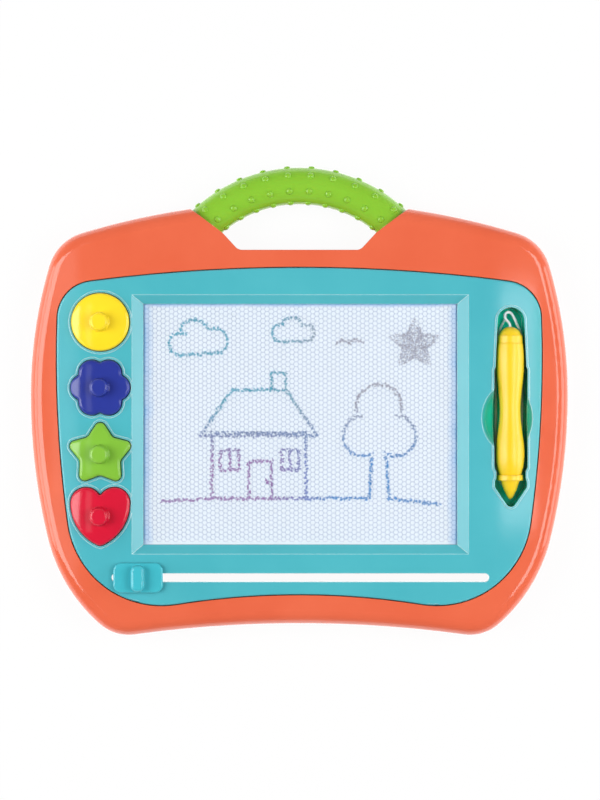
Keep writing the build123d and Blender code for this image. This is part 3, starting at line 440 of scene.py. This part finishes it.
def abs_plastic(name, light, deep, roughness, painted_bounce_colour=None, painted_highlight_colour=None):
    """Return glossy moulded ABS that drifts between two near colours."""
    material, tree, output = new_material(name)
    place = add_node(tree, "ShaderNodeTexCoord").outputs["Object"]
    flow = add_node(tree, "ShaderNodeTexNoise", {"Scale": 1 / (FLOW_MM * MM), "Detail": 3.0}, {"Vector": place})
    tint = add_node(tree, "ShaderNodeValToRGB", None, {"Fac": flow.outputs["Fac"]})
    for stop, position, hex_colour in zip(tint.color_ramp.elements, FLOW_SPAN, (deep, light)):
        stop.position = position
        stop.color = linear(hex_colour)
    grain = add_node(tree, "ShaderNodeTexNoise", {"Scale": 1 / (GRAIN_MM * MM), "Detail": 2.0}, {"Vector": place})
    gloss = add_node(
        tree,
        "ShaderNodeMapRange",
        {"To Min": roughness * (1 - GLOSS_DRIFT), "To Max": roughness * (1 + GLOSS_DRIFT)},
        {"Value": grain.outputs["Fac"]},
    )
    wave = add_node(tree, "ShaderNodeTexNoise", {"Scale": 1 / (RIPPLE_MM * MM), "Detail": 1.0}, {"Vector": place})
    edge = add_node(tree, "ShaderNodeBevel", {"Radius": EDGE_MM * MM, "samples": 4})
    bump = add_node(
        tree,
        "ShaderNodeBump",
        {"Strength": 1.0, "Distance": RIPPLE_DEPTH_MM * MM},
        {"Height": wave.outputs["Fac"], "Normal": edge.outputs[0]},
    )
    colour = tint.outputs[0]
    # Only the teal gets the painted bounce light in its tray and the painted edge highlight.
    if painted_bounce_colour:
        colour = painted_tray_bounce(tree, place, colour, painted_bounce_colour)
        colour = painted_edge_highlight(tree, edge.outputs[0], colour, painted_highlight_colour)
    skin = add_node(
        tree,
        "ShaderNodeBsdfPrincipled",
        {"IOR": ABS_IOR},
        {"Base Color": colour, "Roughness": gloss.outputs[0], "Normal": bump.outputs[0]},
    )
    tree.links.new(skin.outputs[0], output.inputs["Surface"])
    return material


# %% [markdown]
# Each colour of plastic is then one call. The screen's clamp, the handle's core and the eraser's carriage hardly
# show, so they are moulded in natural white, as hidden parts mostly are.

# %% Colours of the plastics


def dress(material, *names):
    """Give frame nodes a material in place of the one they came with."""
    for name in names:
        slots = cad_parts[name].data.materials
        slots.clear()
        slots.append(material)


coral_abs = abs_plastic("coral_orange_moulded_abs", "#E66A49", "#E16342", 0.08)
# 10B49E is the painted bounce light down in the tray, and #D8F8F8 is the painted edge highlight.
teal_abs = abs_plastic("teal_moulded_abs", "#50B5C0", "#49AFBB", 0.10, "#10B49E", "#D8F8F8")
knob_abs = abs_plastic("teal_eraser_knob_abs", "#45BCC9", "#3FB6C4", 0.14)
yellow_abs = abs_plastic("yellow_moulded_abs", "#FADC2A", "#F6D620", 0.10)
blue_abs = abs_plastic("deep_blue_moulded_abs", "#2C3A99", "#27348F", 0.10)
green_abs = abs_plastic("leaf_green_moulded_abs", "#86C03F", "#7FBA38", 0.10)
red_abs = abs_plastic("raspberry_red_moulded_abs", "#DA1A3A", "#D21534", 0.10)
satin_yellow_abs = abs_plastic("yellow_satin_moulded_abs", "#F5CF24", "#F1CA1D", 0.30)
plain_abs = abs_plastic("natural_white_moulded_abs", "#DAD8D2", "#D2D0CA", 0.35)
dress(coral_abs, "front_shell", "rear_cover")
dress(teal_abs, "front_panel")
dress(knob_abs, "eraser_knob")
dress(yellow_abs, "stamp_circle")
dress(satin_yellow_abs, "pen_barrel", "pen_end_cap", "pen_nose")
dress(blue_abs, "stamp_flower")
dress(green_abs, "stamp_star")
dress(red_abs, "stamp_heart")
dress(plain_abs, "screen_clamp_frame", "handle_core", "eraser_carriage")

# %% [markdown]
# ## Metal and magnets
# The screws are zinc-plated steel: bright, with fine turning marks. The magnets are pressed ferrite, a dark and
# slightly sparkling ceramic that is left as it comes from the kiln.

# %% Steel and ferrite
TURNING_MM = 0.3
STEEL_ROUGHNESS = (0.22, 0.4)
GRIT_MM = 0.4


def zinc_plated_steel():
    """Return zinc plate over turned steel."""
    material, tree, output = new_material("zinc_plated_turned_steel")
    place = add_node(tree, "ShaderNodeTexCoord").outputs["Object"]
    marks = add_node(tree, "ShaderNodeTexNoise", {"Scale": 1 / (TURNING_MM * MM), "Detail": 3.0}, {"Vector": place})
    gloss = add_node(
        tree,
        "ShaderNodeMapRange",
        {"To Min": STEEL_ROUGHNESS[0], "To Max": STEEL_ROUGHNESS[1]},
        {"Value": marks.outputs["Fac"]},
    )
    bump = add_node(tree, "ShaderNodeBump", {"Distance": 0.01 * MM}, {"Height": marks.outputs["Fac"]})
    skin = add_node(
        tree,
        "ShaderNodeBsdfPrincipled",
        {"Base Color": linear("#C9CCD1"), "Metallic": 1.0},
        {"Roughness": gloss.outputs[0], "Normal": bump.outputs[0]},
    )
    tree.links.new(skin.outputs[0], output.inputs["Surface"])
    return material


def pressed_ferrite():
    """Return dark sintered ferrite with a fine grit."""
    material, tree, output = new_material("pressed_ferrite_magnet")
    place = add_node(tree, "ShaderNodeTexCoord").outputs["Object"]
    grit = add_node(tree, "ShaderNodeTexNoise", {"Scale": 1 / (GRIT_MM * MM), "Detail": 5.0}, {"Vector": place})
    tint = add_node(tree, "ShaderNodeValToRGB", None, {"Fac": grit.outputs["Fac"]})
    tint.color_ramp.elements[0].color = linear("#26272A")
    tint.color_ramp.elements[1].color = linear("#4A4B50")
    bump = add_node(tree, "ShaderNodeBump", {"Distance": 0.02 * MM}, {"Height": grit.outputs["Fac"]})
    skin = add_node(
        tree,
        "ShaderNodeBsdfPrincipled",
        {"Roughness": 0.6},
        {"Base Color": tint.outputs[0], "Normal": bump.outputs[0]},
    )
    tree.links.new(skin.outputs[0], output.inputs["Surface"])
    return material


magnets = [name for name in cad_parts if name.endswith("_magnet")]
dress(zinc_plated_steel(), "case_screws", "clamp_screws", "eraser_screw")
dress(pressed_ferrite(), *magnets)
print("magnets", len(magnets))

# %% [markdown]
# ## The cord's finish
# The tether is a thin braid of white polyester. At this size the plait shows only as a fine ripple.

# %% Braided cord
BRAID_MM = 0.9

braid, tree, output = new_material("white_braided_polyester")
place = add_node(tree, "ShaderNodeTexCoord").outputs["Object"]
plait = add_node(
    tree,
    "ShaderNodeTexVoronoi",
    {"Scale": 1 / (BRAID_MM * MM), "feature": "SMOOTH_F1"},
    {"Vector": place},
)
# The grooves between the strands are darker: painted shade, along with the bump.
shade = add_node(tree, "ShaderNodeValToRGB", None, {"Fac": plait.outputs["Distance"]})
shade.color_ramp.elements[0].color = linear("#F4F5F6")
shade.color_ramp.elements[1].color = linear("#C9CDD2")
bump = add_node(tree, "ShaderNodeBump", {"Distance": 0.15 * MM, "invert": True}, {"Height": plait.outputs["Distance"]})
skin = add_node(
    tree,
    "ShaderNodeBsdfPrincipled",
    {"Roughness": 0.55, "Sheen Weight": 0.3},
    {"Base Color": shade.outputs[0], "Normal": bump.outputs[0]},
)
tree.links.new(skin.outputs[0], output.inputs["Surface"])
tether.data.materials.append(braid)
knot.data.materials.append(braid)

# %% [markdown]
# ## The soft grip
# A sleeve of thermoplastic rubber is moulded over the handle's stiff core. Its rows of small domes keep wet little
# hands from slipping. The sleeve is an oval swept along an arc, and every dome is one turned profile set square to it.

# %% Sizes of the grip
ARC_RADIUS = 96.3 * MM
HALF_WIDTH = 13.0 * MM
HALF_DEPTH = 11.0 * MM
HALF_ANGLE = math.radians(45.6)
END_ROUND = 1.2 * MM
END_PROFILE = [(0.0, 2.0), (0.0, 1.0), (0.25, 0.3)]  # along and inwards, in shares of the rounding
STUD_PROFILE_MM = [(2.5, -0.35), (2.25, 0.15), (2.0, 0.6), (1.55, 0.95), (0.95, 1.14), (0.35, 1.2)]
STUD_ROWS = 7
STUDS_PER_ROW = 10
STUD_PITCH = math.radians(8.7)
STUD_SPREAD = math.radians(0.4)
STUD_TWIST = math.radians(8.4)
SLEEVE_STEPS = 72
SLEEVE_SIDES = 48
STUD_SIDES = 18
grip_low, grip_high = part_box("handle_grip")
ARC_Y = grip_high.y - ARC_RADIUS - HALF_WIDTH - STUD_PROFILE_MM[-1][1] * MM
ARC_Z = (grip_low.z + grip_high.z) / 2

# %% A point of the sleeve and one dome


def on_sleeve(angle, turn, shrink=0.0):
    """Return a point of the sleeve at an angle along its arc and a turn round its section."""
    reach = ARC_RADIUS + (HALF_WIDTH - shrink) * math.cos(turn)
    height = ARC_Z + (HALF_DEPTH - shrink) * math.sin(turn)
    return Vector((reach * math.sin(angle), ARC_Y + reach * math.cos(angle), height))


def stud(mesh, angle, turn):
    """Add one turned dome to the mesh, square to the sleeve."""
    outward = Vector((math.sin(angle), math.cos(angle), 0))
    normal = (outward * math.cos(turn) / HALF_WIDTH + Vector((0, 0, 1)) * math.sin(turn) / HALF_DEPTH).normalized()
    along = Vector((math.cos(angle), -math.sin(angle), 0))
    across = normal.cross(along)
    centre = on_sleeve(angle, turn)
    rings = []
    for radius, height in STUD_PROFILE_MM:
        ring = []
        for side in range(STUD_SIDES):
            spin = 2 * math.pi * side / STUD_SIDES
            edge = along * math.cos(spin) + across * math.sin(spin)
            ring.append(mesh.verts.new(centre + edge * radius * MM + normal * height * MM))
        rings.append(ring)
    for low, high in zip(rings, rings[1:]):
        for side in range(STUD_SIDES):
            after = (side + 1) % STUD_SIDES
            mesh.faces.new((low[side], low[after], high[after], high[side]))
    mesh.faces.new(rings[-1])
    mesh.faces.new(list(reversed(rings[0])))


# %% [markdown]
# The sleeve is drawn ring by ring from one end to the other. The first and last three rings shrink, which rounds its
# ends. The domes then stand in rows along it, a little wider apart on the outside of the bend than on the inside.

# %% Grip sleeve
mesh = bmesh.new()
stations = [(-HALF_ANGLE + along * END_ROUND / ARC_RADIUS, inwards * END_ROUND) for along, inwards in END_PROFILE]
stations += [(HALF_ANGLE * (2 * step / SLEEVE_STEPS - 1), 0.0) for step in range(1, SLEEVE_STEPS)]
stations += [(-angle, shrink) for angle, shrink in reversed(stations[:len(END_PROFILE)])]
rings = []
for angle, shrink in stations:
    turns = [2 * math.pi * side / SLEEVE_SIDES for side in range(SLEEVE_SIDES)]
    rings.append([mesh.verts.new(on_sleeve(angle, turn, shrink)) for turn in turns])
for low, high in zip(rings, rings[1:]):
    for side in range(SLEEVE_SIDES):
        after = (side + 1) % SLEEVE_SIDES
        mesh.faces.new((low[side], low[after], high[after], high[side]))
mesh.faces.new(rings[0])
mesh.faces.new(rings[-1])
for place in range(STUDS_PER_ROW):
    for row in range(STUD_ROWS):
        turn = STUD_TWIST + 2 * math.pi * row / STUD_ROWS
        pitch = STUD_PITCH + STUD_SPREAD * math.cos(turn)
        stud(mesh, (place - (STUDS_PER_ROW - 1) / 2) * pitch, turn)
bmesh.ops.recalc_face_normals(mesh, faces=mesh.faces)
data = bpy.data.meshes.new("studded_soft_grip")
mesh.to_mesh(data)
mesh.free()
data.shade_smooth()
grip = bpy.data.objects.new("studded_soft_grip", data)
bpy.context.scene.collection.objects.link(grip)
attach(grip, "case")
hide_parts("handle_grip")
print("grip faces", len(grip.data.polygons))

# %% [markdown]
# The rubber has a soft shine, a little light passes into it, and its skin has a fine dry grain.

# %% Rubber
RUBBER_FLOW_MM = 30.0
SKIN_MM = 0.35

rubber, tree, output = new_material("lime_green_thermoplastic_rubber")
place = add_node(tree, "ShaderNodeTexCoord").outputs["Object"]
flow = add_node(tree, "ShaderNodeTexNoise", {"Scale": 1 / (RUBBER_FLOW_MM * MM), "Detail": 3.0}, {"Vector": place})
tint = add_node(tree, "ShaderNodeValToRGB", None, {"Fac": flow.outputs["Fac"]})
tint.color_ramp.elements[0].color = linear("#84BF2E")
tint.color_ramp.elements[1].color = linear("#8DC63A")
skin_grain = add_node(tree, "ShaderNodeTexNoise", {"Scale": 1 / (SKIN_MM * MM), "Detail": 3.0}, {"Vector": place})
bump = add_node(tree, "ShaderNodeBump", {"Distance": 0.02 * MM}, {"Height": skin_grain.outputs["Fac"]})
skin = add_node(
    tree,
    "ShaderNodeBsdfPrincipled",
    {"Roughness": 0.15, "IOR": 1.5, "Subsurface Weight": 0.08, "Subsurface Scale": 2 * MM},
    {"Base Color": tint.outputs[0], "Normal": bump.outputs[0]},
)
tree.links.new(skin.outputs[0], output.inputs["Surface"])
grip.data.materials.append(rubber)

# %% [markdown]
# ## The screen
# Behind a clear film stand some thousands of hexagonal cells, open towards the film and filled with a pale liquid.
# Each cell is a ring of walls round a sunken floor. They are built here as real geometry, so that the lattice
# catches light from any side. Each hexagon has a flat side towards the handle, and the columns of cells stand half
# a cell higher and lower by turns. The rim of each wall slopes into its cell, so the rims that face the soft boxes
# are light, and those between a cell and the one above it stay dark.

# %% Sizes of the cells
CELL_FLATS = 3.36 * MM
CELL_SIDE = CELL_FLATS / math.sqrt(3)
WALL = 0.34 * MM
CELL_DEPTH = 0.4 * MM
CELL_CHAMFER = 0.13 * MM
FLOOR_ROOM = 0.02 * MM  # between the cells and the slab under them
CORNERS = 6
core_low, core_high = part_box("screen_core")
core_middle = (core_low + core_high) / 2
half_core = (core_high - core_low) / 2
cell_floor = core_high.z - CELL_DEPTH


def hexagon(centre, side):
    """Return the corners of a flat-topped hexagon round a centre."""
    angles = [2 * math.pi * corner / CORNERS for corner in range(CORNERS)]
    return [(centre[0] + side * math.cos(angle), centre[1] + side * math.sin(angle)) for angle in angles]


def cell_centres():
    """Return the centre of every whole cell of the core."""
    pitch = 1.5 * CELL_SIDE
    columns = int((half_core.x - CELL_SIDE) / pitch)
    rows = int((half_core.y - CELL_FLATS) / CELL_FLATS)
    centres = []
    for column in range(-columns, columns + 1):
        shift = CELL_FLATS / 2 * (column % 2)
        for row in range(-rows, rows + 1):
            centres.append((core_middle.x + column * pitch, core_middle.y + row * CELL_FLATS + shift))
    return centres


# %% Honeycomb
centres = cell_centres()
vertices = []
faces = []
floor_faces = []
inner_side = CELL_SIDE - WALL / math.sqrt(3)
for centre in centres:
    first = len(vertices)
    outer = hexagon(centre, CELL_SIDE)
    inner = hexagon(centre, inner_side)
    rings = (
        (outer, cell_floor - FLOOR_ROOM),
        (outer, core_high.z),
        (inner, core_high.z - CELL_CHAMFER),
        (inner, cell_floor),
    )
    for corners, height in rings:
        vertices += [(x, y, height) for x, y in corners]
    for corner in range(CORNERS):
        after = (corner + 1) % CORNERS
        for ring in range(len(rings) - 1):
            low = first + CORNERS * ring
            high = low + CORNERS
            faces.append((low + corner, low + after, high + after, high + corner))
            floor_faces.append(False)
    faces.append([len(vertices) - CORNERS + corner for corner in range(CORNERS)])
    floor_faces.append(True)
slab = len(vertices)
for height in (core_low.z, cell_floor - FLOOR_ROOM):
    for x, y in ((-1, -1), (1, -1), (1, 1), (-1, 1)):
        vertices.append((core_middle.x + x * half_core.x, core_middle.y + y * half_core.y, height))
faces += [(slab + 3, slab + 2, slab + 1, slab), (slab + 4, slab + 5, slab + 6, slab + 7)]
faces += [(slab + side, slab + (side + 1) % 4, slab + 4 + (side + 1) % 4, slab + 4 + side) for side in range(4)]
floor_faces += [True] * 6  # one for each face of the slab
data = bpy.data.meshes.new("honeycomb_core")
data.from_pydata(vertices, [], faces)
data.polygons.foreach_set("material_index", [int(is_floor) for is_floor in floor_faces])
honeycomb = bpy.data.objects.new("honeycomb_core", data)
bpy.context.scene.collection.objects.link(honeycomb)
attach(honeycomb, "case")
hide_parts("screen_core")
print("cells", len(centres), "faces", len(faces))

# %% [markdown]
# The cell walls are a blue-grey clear plastic, and the liquid is milky white with a cold tint that is stronger
# towards the edges, where the walls of the recess throw their colour on it.

# %% Cell wall and liquid
WINDOW_HALF_WIDTH = 109.75 * MM
WINDOW_HALF_HEIGHT = 84.0 * MM
SIDE_TINT = 9 * MM
TOP_TINT = 3 * MM
CLOUD_MM = 18.0
CLOUD_DRIFT = 0.3
TINT_START = 0.2
TINT_FULL = 0.8


def screen_stuff(name, middle, edge, rim_colour, roughness):
    """Return a satin material with one colour in the middle of the screen, one near its sides and one at its rim."""
    material, tree, output = new_material(name)
    place = add_node(tree, "ShaderNodeTexCoord").outputs["Object"]
    apart = add_node(tree, "ShaderNodeSeparateXYZ", None, {"Vector": place})
    sideways = add_node(tree, "ShaderNodeMath", {"operation": "SUBTRACT", 1: core_middle.x}, {0: apart.outputs["X"]})
    distance = add_node(tree, "ShaderNodeMath", {"operation": "ABSOLUTE"}, {0: sideways.outputs[0]})
    side_share = add_node(
        tree,
        "ShaderNodeMapRange",
        {"From Min": WINDOW_HALF_WIDTH - SIDE_TINT, "From Max": WINDOW_HALF_WIDTH},
        {"Value": distance.outputs[0]},
    )
    window_top = core_middle.y + WINDOW_HALF_HEIGHT
    top_share = add_node(
        tree,
        "ShaderNodeMapRange",
        {"From Min": window_top - TOP_TINT, "From Max": window_top},
        {"Value": apart.outputs["Y"]},
    )
    both = {0: side_share.outputs[0], 1: top_share.outputs[0]}
    nearest = add_node(tree, "ShaderNodeMath", {"operation": "MAXIMUM"}, both)
    cloud = add_node(tree, "ShaderNodeTexNoise", {"Scale": 1 / (CLOUD_MM * MM), "Detail": 3.0}, {"Vector": place})
    drift = add_node(
        tree,
        "ShaderNodeMapRange",
        {"To Min": -CLOUD_DRIFT, "To Max": CLOUD_DRIFT},
        {"Value": cloud.outputs["Fac"]},
    )
    where = add_node(tree, "ShaderNodeMath", {"operation": "ADD"}, {0: nearest.outputs[0], 1: drift.outputs[0]})
    tint = add_node(tree, "ShaderNodeValToRGB", None, {"Fac": where.outputs[0]})
    tint.color_ramp.elements[0].position = TINT_START
    tint.color_ramp.elements[0].color = linear(middle)
    near_edge = tint.color_ramp.elements.new(TINT_FULL)
    near_edge.color = linear(edge)
    tint.color_ramp.elements[-1].color = linear(rim_colour)
    skin = add_node(tree, "ShaderNodeBsdfPrincipled", {"Roughness": roughness}, {"Base Color": tint.outputs[0]})
    tree.links.new(skin.outputs[0], output.inputs["Surface"])
    return material


cell_wall = screen_stuff("blue_grey_cell_wall", "#C6CFE4", "#96BCE2", "#5AA6DC", 0.45)
liquid = screen_stuff("milky_white_liquid", "#F6FBFE", "#CFE2F9", "#A9D2F2", 0.35)
back_sheet = screen_stuff("white_polyester_back_sheet", "#EEF1F3", "#EEF1F3", "#E6EAEE", 0.4)
honeycomb.data.materials.append(cell_wall)
honeycomb.data.materials.append(liquid)
dress(back_sheet, "screen_back_sheet")

# %% [markdown]
# The film over the cells is clear polyester. It is so thin that it bends no light: it lets the view through and adds
# only a faint reflection, so a transparent shader mixed with a glossy one by Fresnel is enough. Only the outer face
# reflects: a ray that isn't bent would wrongly be mirrored at the inner one.

# %% Clear film
FILM_WAVE_MM = 25.0

film, tree, output = new_material("clear_polyester_film")
place = add_node(tree, "ShaderNodeTexCoord").outputs["Object"]
wave = add_node(tree, "ShaderNodeTexNoise", {"Scale": 1 / (FILM_WAVE_MM * MM), "Detail": 1.0}, {"Vector": place})
bump = add_node(tree, "ShaderNodeBump", {"Distance": 0.03 * MM}, {"Height": wave.outputs["Fac"]})
clear = add_node(tree, "ShaderNodeBsdfTransparent", {"Color": linear("#FCFDFE")})
shine = add_node(tree, "ShaderNodeBsdfGlossy", {"Roughness": 0.12}, {"Normal": bump.outputs[0]})
fresnel = add_node(tree, "ShaderNodeFresnel", {"IOR": 1.45}, {"Normal": bump.outputs[0]})
face = add_node(tree, "ShaderNodeNewGeometry")
outside = add_node(tree, "ShaderNodeMapRange", {"To Min": 1.0, "To Max": 0.0}, {"Value": face.outputs["Backfacing"]})
both = {0: fresnel.outputs[0], 1: outside.outputs[0]}
share = add_node(tree, "ShaderNodeMath", {"operation": "MULTIPLY"}, both)
mix = add_node(tree, "ShaderNodeMixShader", None, {0: share.outputs[0], 1: clear.outputs[0], 2: shine.outputs[0]})
tree.links.new(mix.outputs[0], output.inputs["Surface"])
dress(film, "screen_film")

# %% [markdown]
# ## The drawing
# A magnet pulls dark powder up to the film, where it clings in small clumps along the way that the pen has gone.
# So a line is not a line here, but thousands of loose flakes scattered along a path.
# The drawing is a plain one of this lesson's own: a house, a tree, two clouds, a bird and a stamped star.
# Three helpers give the points of a straight run, of an arc and of a stamped star, in millimetres from the middle.

# %% Helpers for strokes
CLUMP_STEP = 0.8
STAMP_FLAKES = 1700
VALLEY_CURVE = 1.6
random.seed(7)


def line(*points):
    """Return points a short step apart along straight runs."""
    found = []
    for (x0, y0), (x1, y1) in zip(points, points[1:]):
        steps = max(1, int(math.hypot(x1 - x0, y1 - y0) / CLUMP_STEP))
        found += [(x0 + (x1 - x0) * i / steps, y0 + (y1 - y0) * i / steps) for i in range(steps)]
    return found


def arc(centre, radius, start, end):
    """Return points a short step apart along an arc between two angles in degrees."""
    steps = max(2, int(radius * math.radians(abs(end - start)) / CLUMP_STEP))
    angles = [math.radians(start + (end - start) * i / steps) for i in range(steps)]
    return [(centre[0] + radius * math.cos(angle), centre[1] + radius * math.sin(angle)) for angle in angles]


def stamped_star(centre, reach, valley):
    """Return points that fill a five-pointed star, as a stamp leaves it."""
    found = []
    while len(found) < STAMP_FLAKES:
        angle = random.uniform(0, 2 * math.pi)
        sector = (angle - math.pi / 2) % (2 * math.pi / 5)
        share = abs(sector - math.pi / 5) / (math.pi / 5)
        limit = valley + (reach - valley) * share**VALLEY_CURVE
        radius = limit * math.sqrt(random.uniform(0.0, 1.0))
        found.append((centre[0] + radius * math.cos(angle), centre[1] + radius * math.sin(angle)))
    return found


# %% The strokes
house = line((-62, -52), (-62, -6), (4, -6), (4, -52), (-62, -52))
roof = line((-70, -8), (-48, 24), (-10, 24), (12, -8), (-70, -8))
chimney = line((-20, 24), (-20, 36), (-10, 36), (-10, 24))
door = line((-36, -52), (-36, -26), (-20, -26), (-20, -52))
windows = line((-56, -32), (-56, -18), (-43, -18), (-43, -32), (-56, -32)) + line((-49.5, -32), (-49.5, -18))
windows += line((-13, -32), (-13, -18), (-1, -18), (-1, -32), (-13, -32)) + line((-7, -32), (-7, -18))
doorknob = arc((-23.5, -40), 0.9, 0, 360)
trunk = line((48, -52), (50, -22)) + line((62, -52), (60, -22))
crown = arc((44, -8), 14, 95, 300) + arc((55, 12), 16, -12, 195) + arc((67, -8), 14, -120, 90)
ground = line((-98, -54), (-62, -52)) + line((4, -52), (48, -52)) + line((62, -52), (98, -56))
cloud = arc((-84, 56), 8, 60, 290) + arc((-74, 63), 10, 20, 170) + arc((-60, 58), 9, -60, 110)
cloud += line((-81, 48.5), (-56, 50))
cloud += arc((-14, 64), 6, 60, 290) + arc((-6, 68), 7, 10, 170) + arc((4, 64), 6, -80, 100) + line((-12, 58), (5, 58))
bird = arc((30, 54), 5, 30, 150) + arc((39, 54), 5, 30, 150)
strokes = house + roof + chimney + door + windows + doorknob + trunk + crown + ground + cloud + bird
print("stroke points", len(strokes))

# %% Clumps along the strokes
CLUMP_SPREAD = 1.0
CLUMP_REACH = 0.45
FLAKES_PER_CLUMP = 11
STAMP_MIDDLE = (80, 56)
STAMP_REACH = 19
STAMP_VALLEY = 9.5
scatter = []
for x, y in strokes:
    clump_x = x + random.uniform(-CLUMP_SPREAD, CLUMP_SPREAD)
    clump_y = y + random.uniform(-CLUMP_SPREAD, CLUMP_SPREAD)
    lean = random.uniform(0, math.pi)
    for flake in range(FLAKES_PER_CLUMP):
        along = random.gauss(0, CLUMP_REACH)
        aside = random.gauss(0, CLUMP_REACH / 2)
        flake_x = clump_x + along * math.cos(lean) - aside * math.sin(lean)
        flake_y = clump_y + along * math.sin(lean) + aside * math.cos(lean)
        scatter.append((flake_x, flake_y))
scatter += stamped_star(STAMP_MIDDLE, STAMP_REACH, STAMP_VALLEY)
print("flakes", len(scatter))

# %% [markdown]
# Every flake is a flat five-sided double cone with its own size, turn and stretch, and lies just under the film.

# %% Powder
FLAKE_SIDES = 5
FLAKE_RADIUS_MM = (0.22, 0.44)
FLAKE_STRETCH = (0.6, 1.0)
FLAKE_THICKNESS = 0.10 * MM
POWDER_ROOM = 0.05 * MM
POWDER_DEPTH_MM = 0.12
vertices = []
faces = []
for x, y in scatter:
    size = random.uniform(*FLAKE_RADIUS_MM) * MM
    spin = random.uniform(0, 2 * math.pi)
    stretch = random.uniform(*FLAKE_STRETCH)
    height = core_high.z - POWDER_ROOM - random.uniform(0.0, POWDER_DEPTH_MM) * MM
    middle = Vector((core_middle.x + x * MM, core_middle.y + y * MM, height))
    first = len(vertices)
    for side in range(FLAKE_SIDES):
        angle = 2 * math.pi * side / FLAKE_SIDES
        offset = Vector((size * math.cos(angle), size * stretch * math.sin(angle), 0))
        vertices.append(middle + Matrix.Rotation(spin, 3, "Z") @ offset)
    vertices.append(middle + Vector((0, 0, FLAKE_THICKNESS / 2)))
    vertices.append(middle - Vector((0, 0, FLAKE_THICKNESS / 2)))
    for side in range(FLAKE_SIDES):
        after = (side + 1) % FLAKE_SIDES
        faces.append((first + side, first + after, first + FLAKE_SIDES))
        faces.append((first + after, first + side, first + FLAKE_SIDES + 1))
data = bpy.data.meshes.new("powder_drawing")
data.from_pydata(vertices, [], faces)
powder = bpy.data.objects.new("powder_drawing", data)
bpy.context.scene.collection.objects.link(powder)
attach(powder, "case")
print("powder faces", len(faces))

# %% [markdown]
# The powder shows teal, grey, violet or blue, because the liquid is tinted in four soft fields.
# Two ramps across and one up the screen blend the fields.

# %% Powder colours
FIELD_SPAN = (0.40, 0.60)
FIELD_LOW = 25 * MM
FIELD_HIGH = 15 * MM
CLUMP_MM = 1.5
POWDER_VALUE = (0.75, 1.45)

iron, tree, output = new_material("tinted_iron_powder")
place = add_node(tree, "ShaderNodeTexCoord").outputs["Object"]
apart = add_node(tree, "ShaderNodeSeparateXYZ", None, {"Vector": place})
sideways = add_node(
    tree,
    "ShaderNodeMapRange",
    {"From Min": core_middle.x - half_core.x, "From Max": core_middle.x + half_core.x},
    {"Value": apart.outputs["X"]},
)
upward = add_node(
    tree,
    "ShaderNodeMapRange",
    {"From Min": core_middle.y - FIELD_LOW, "From Max": core_middle.y + FIELD_HIGH},
    {"Value": apart.outputs["Y"]},
)


def across(*colours):
    """Return a colour that turns from one to another across the middle of the screen."""
    ramp = add_node(tree, "ShaderNodeValToRGB", None, {"Fac": sideways.outputs[0]})
    for stop, position, hex_colour in zip(ramp.color_ramp.elements, FIELD_SPAN, colours):
        stop.position = position
        stop.color = linear(hex_colour)
    return ramp.outputs["Color"]


fields = add_node(
    tree,
    "ShaderNodeMix",
    {"data_type": "RGBA"},
    {0: upward.outputs[0], 6: across("#A27FB2", "#5793CC"), 7: across("#5CACC2", "#A8A6B2")},
)
clump = add_node(tree, "ShaderNodeTexNoise", {"Scale": 1 / (CLUMP_MM * MM), "Detail": 2.0}, {"Vector": place})
value = add_node(
    tree,
    "ShaderNodeMapRange",
    {"To Min": POWDER_VALUE[0], "To Max": POWDER_VALUE[1]},
    {"Value": clump.outputs["Fac"]},
)
deepened = {"Color": fields.outputs[2], "Value": value.outputs[0]}
powder_tint = add_node(tree, "ShaderNodeHueSaturation", None, deepened)
skin = add_node(tree, "ShaderNodeBsdfPrincipled", {"Roughness": 0.7}, {"Base Color": powder_tint.outputs[0]})
tree.links.new(skin.outputs[0], output.inputs["Surface"])
powder.data.materials.append(iron)
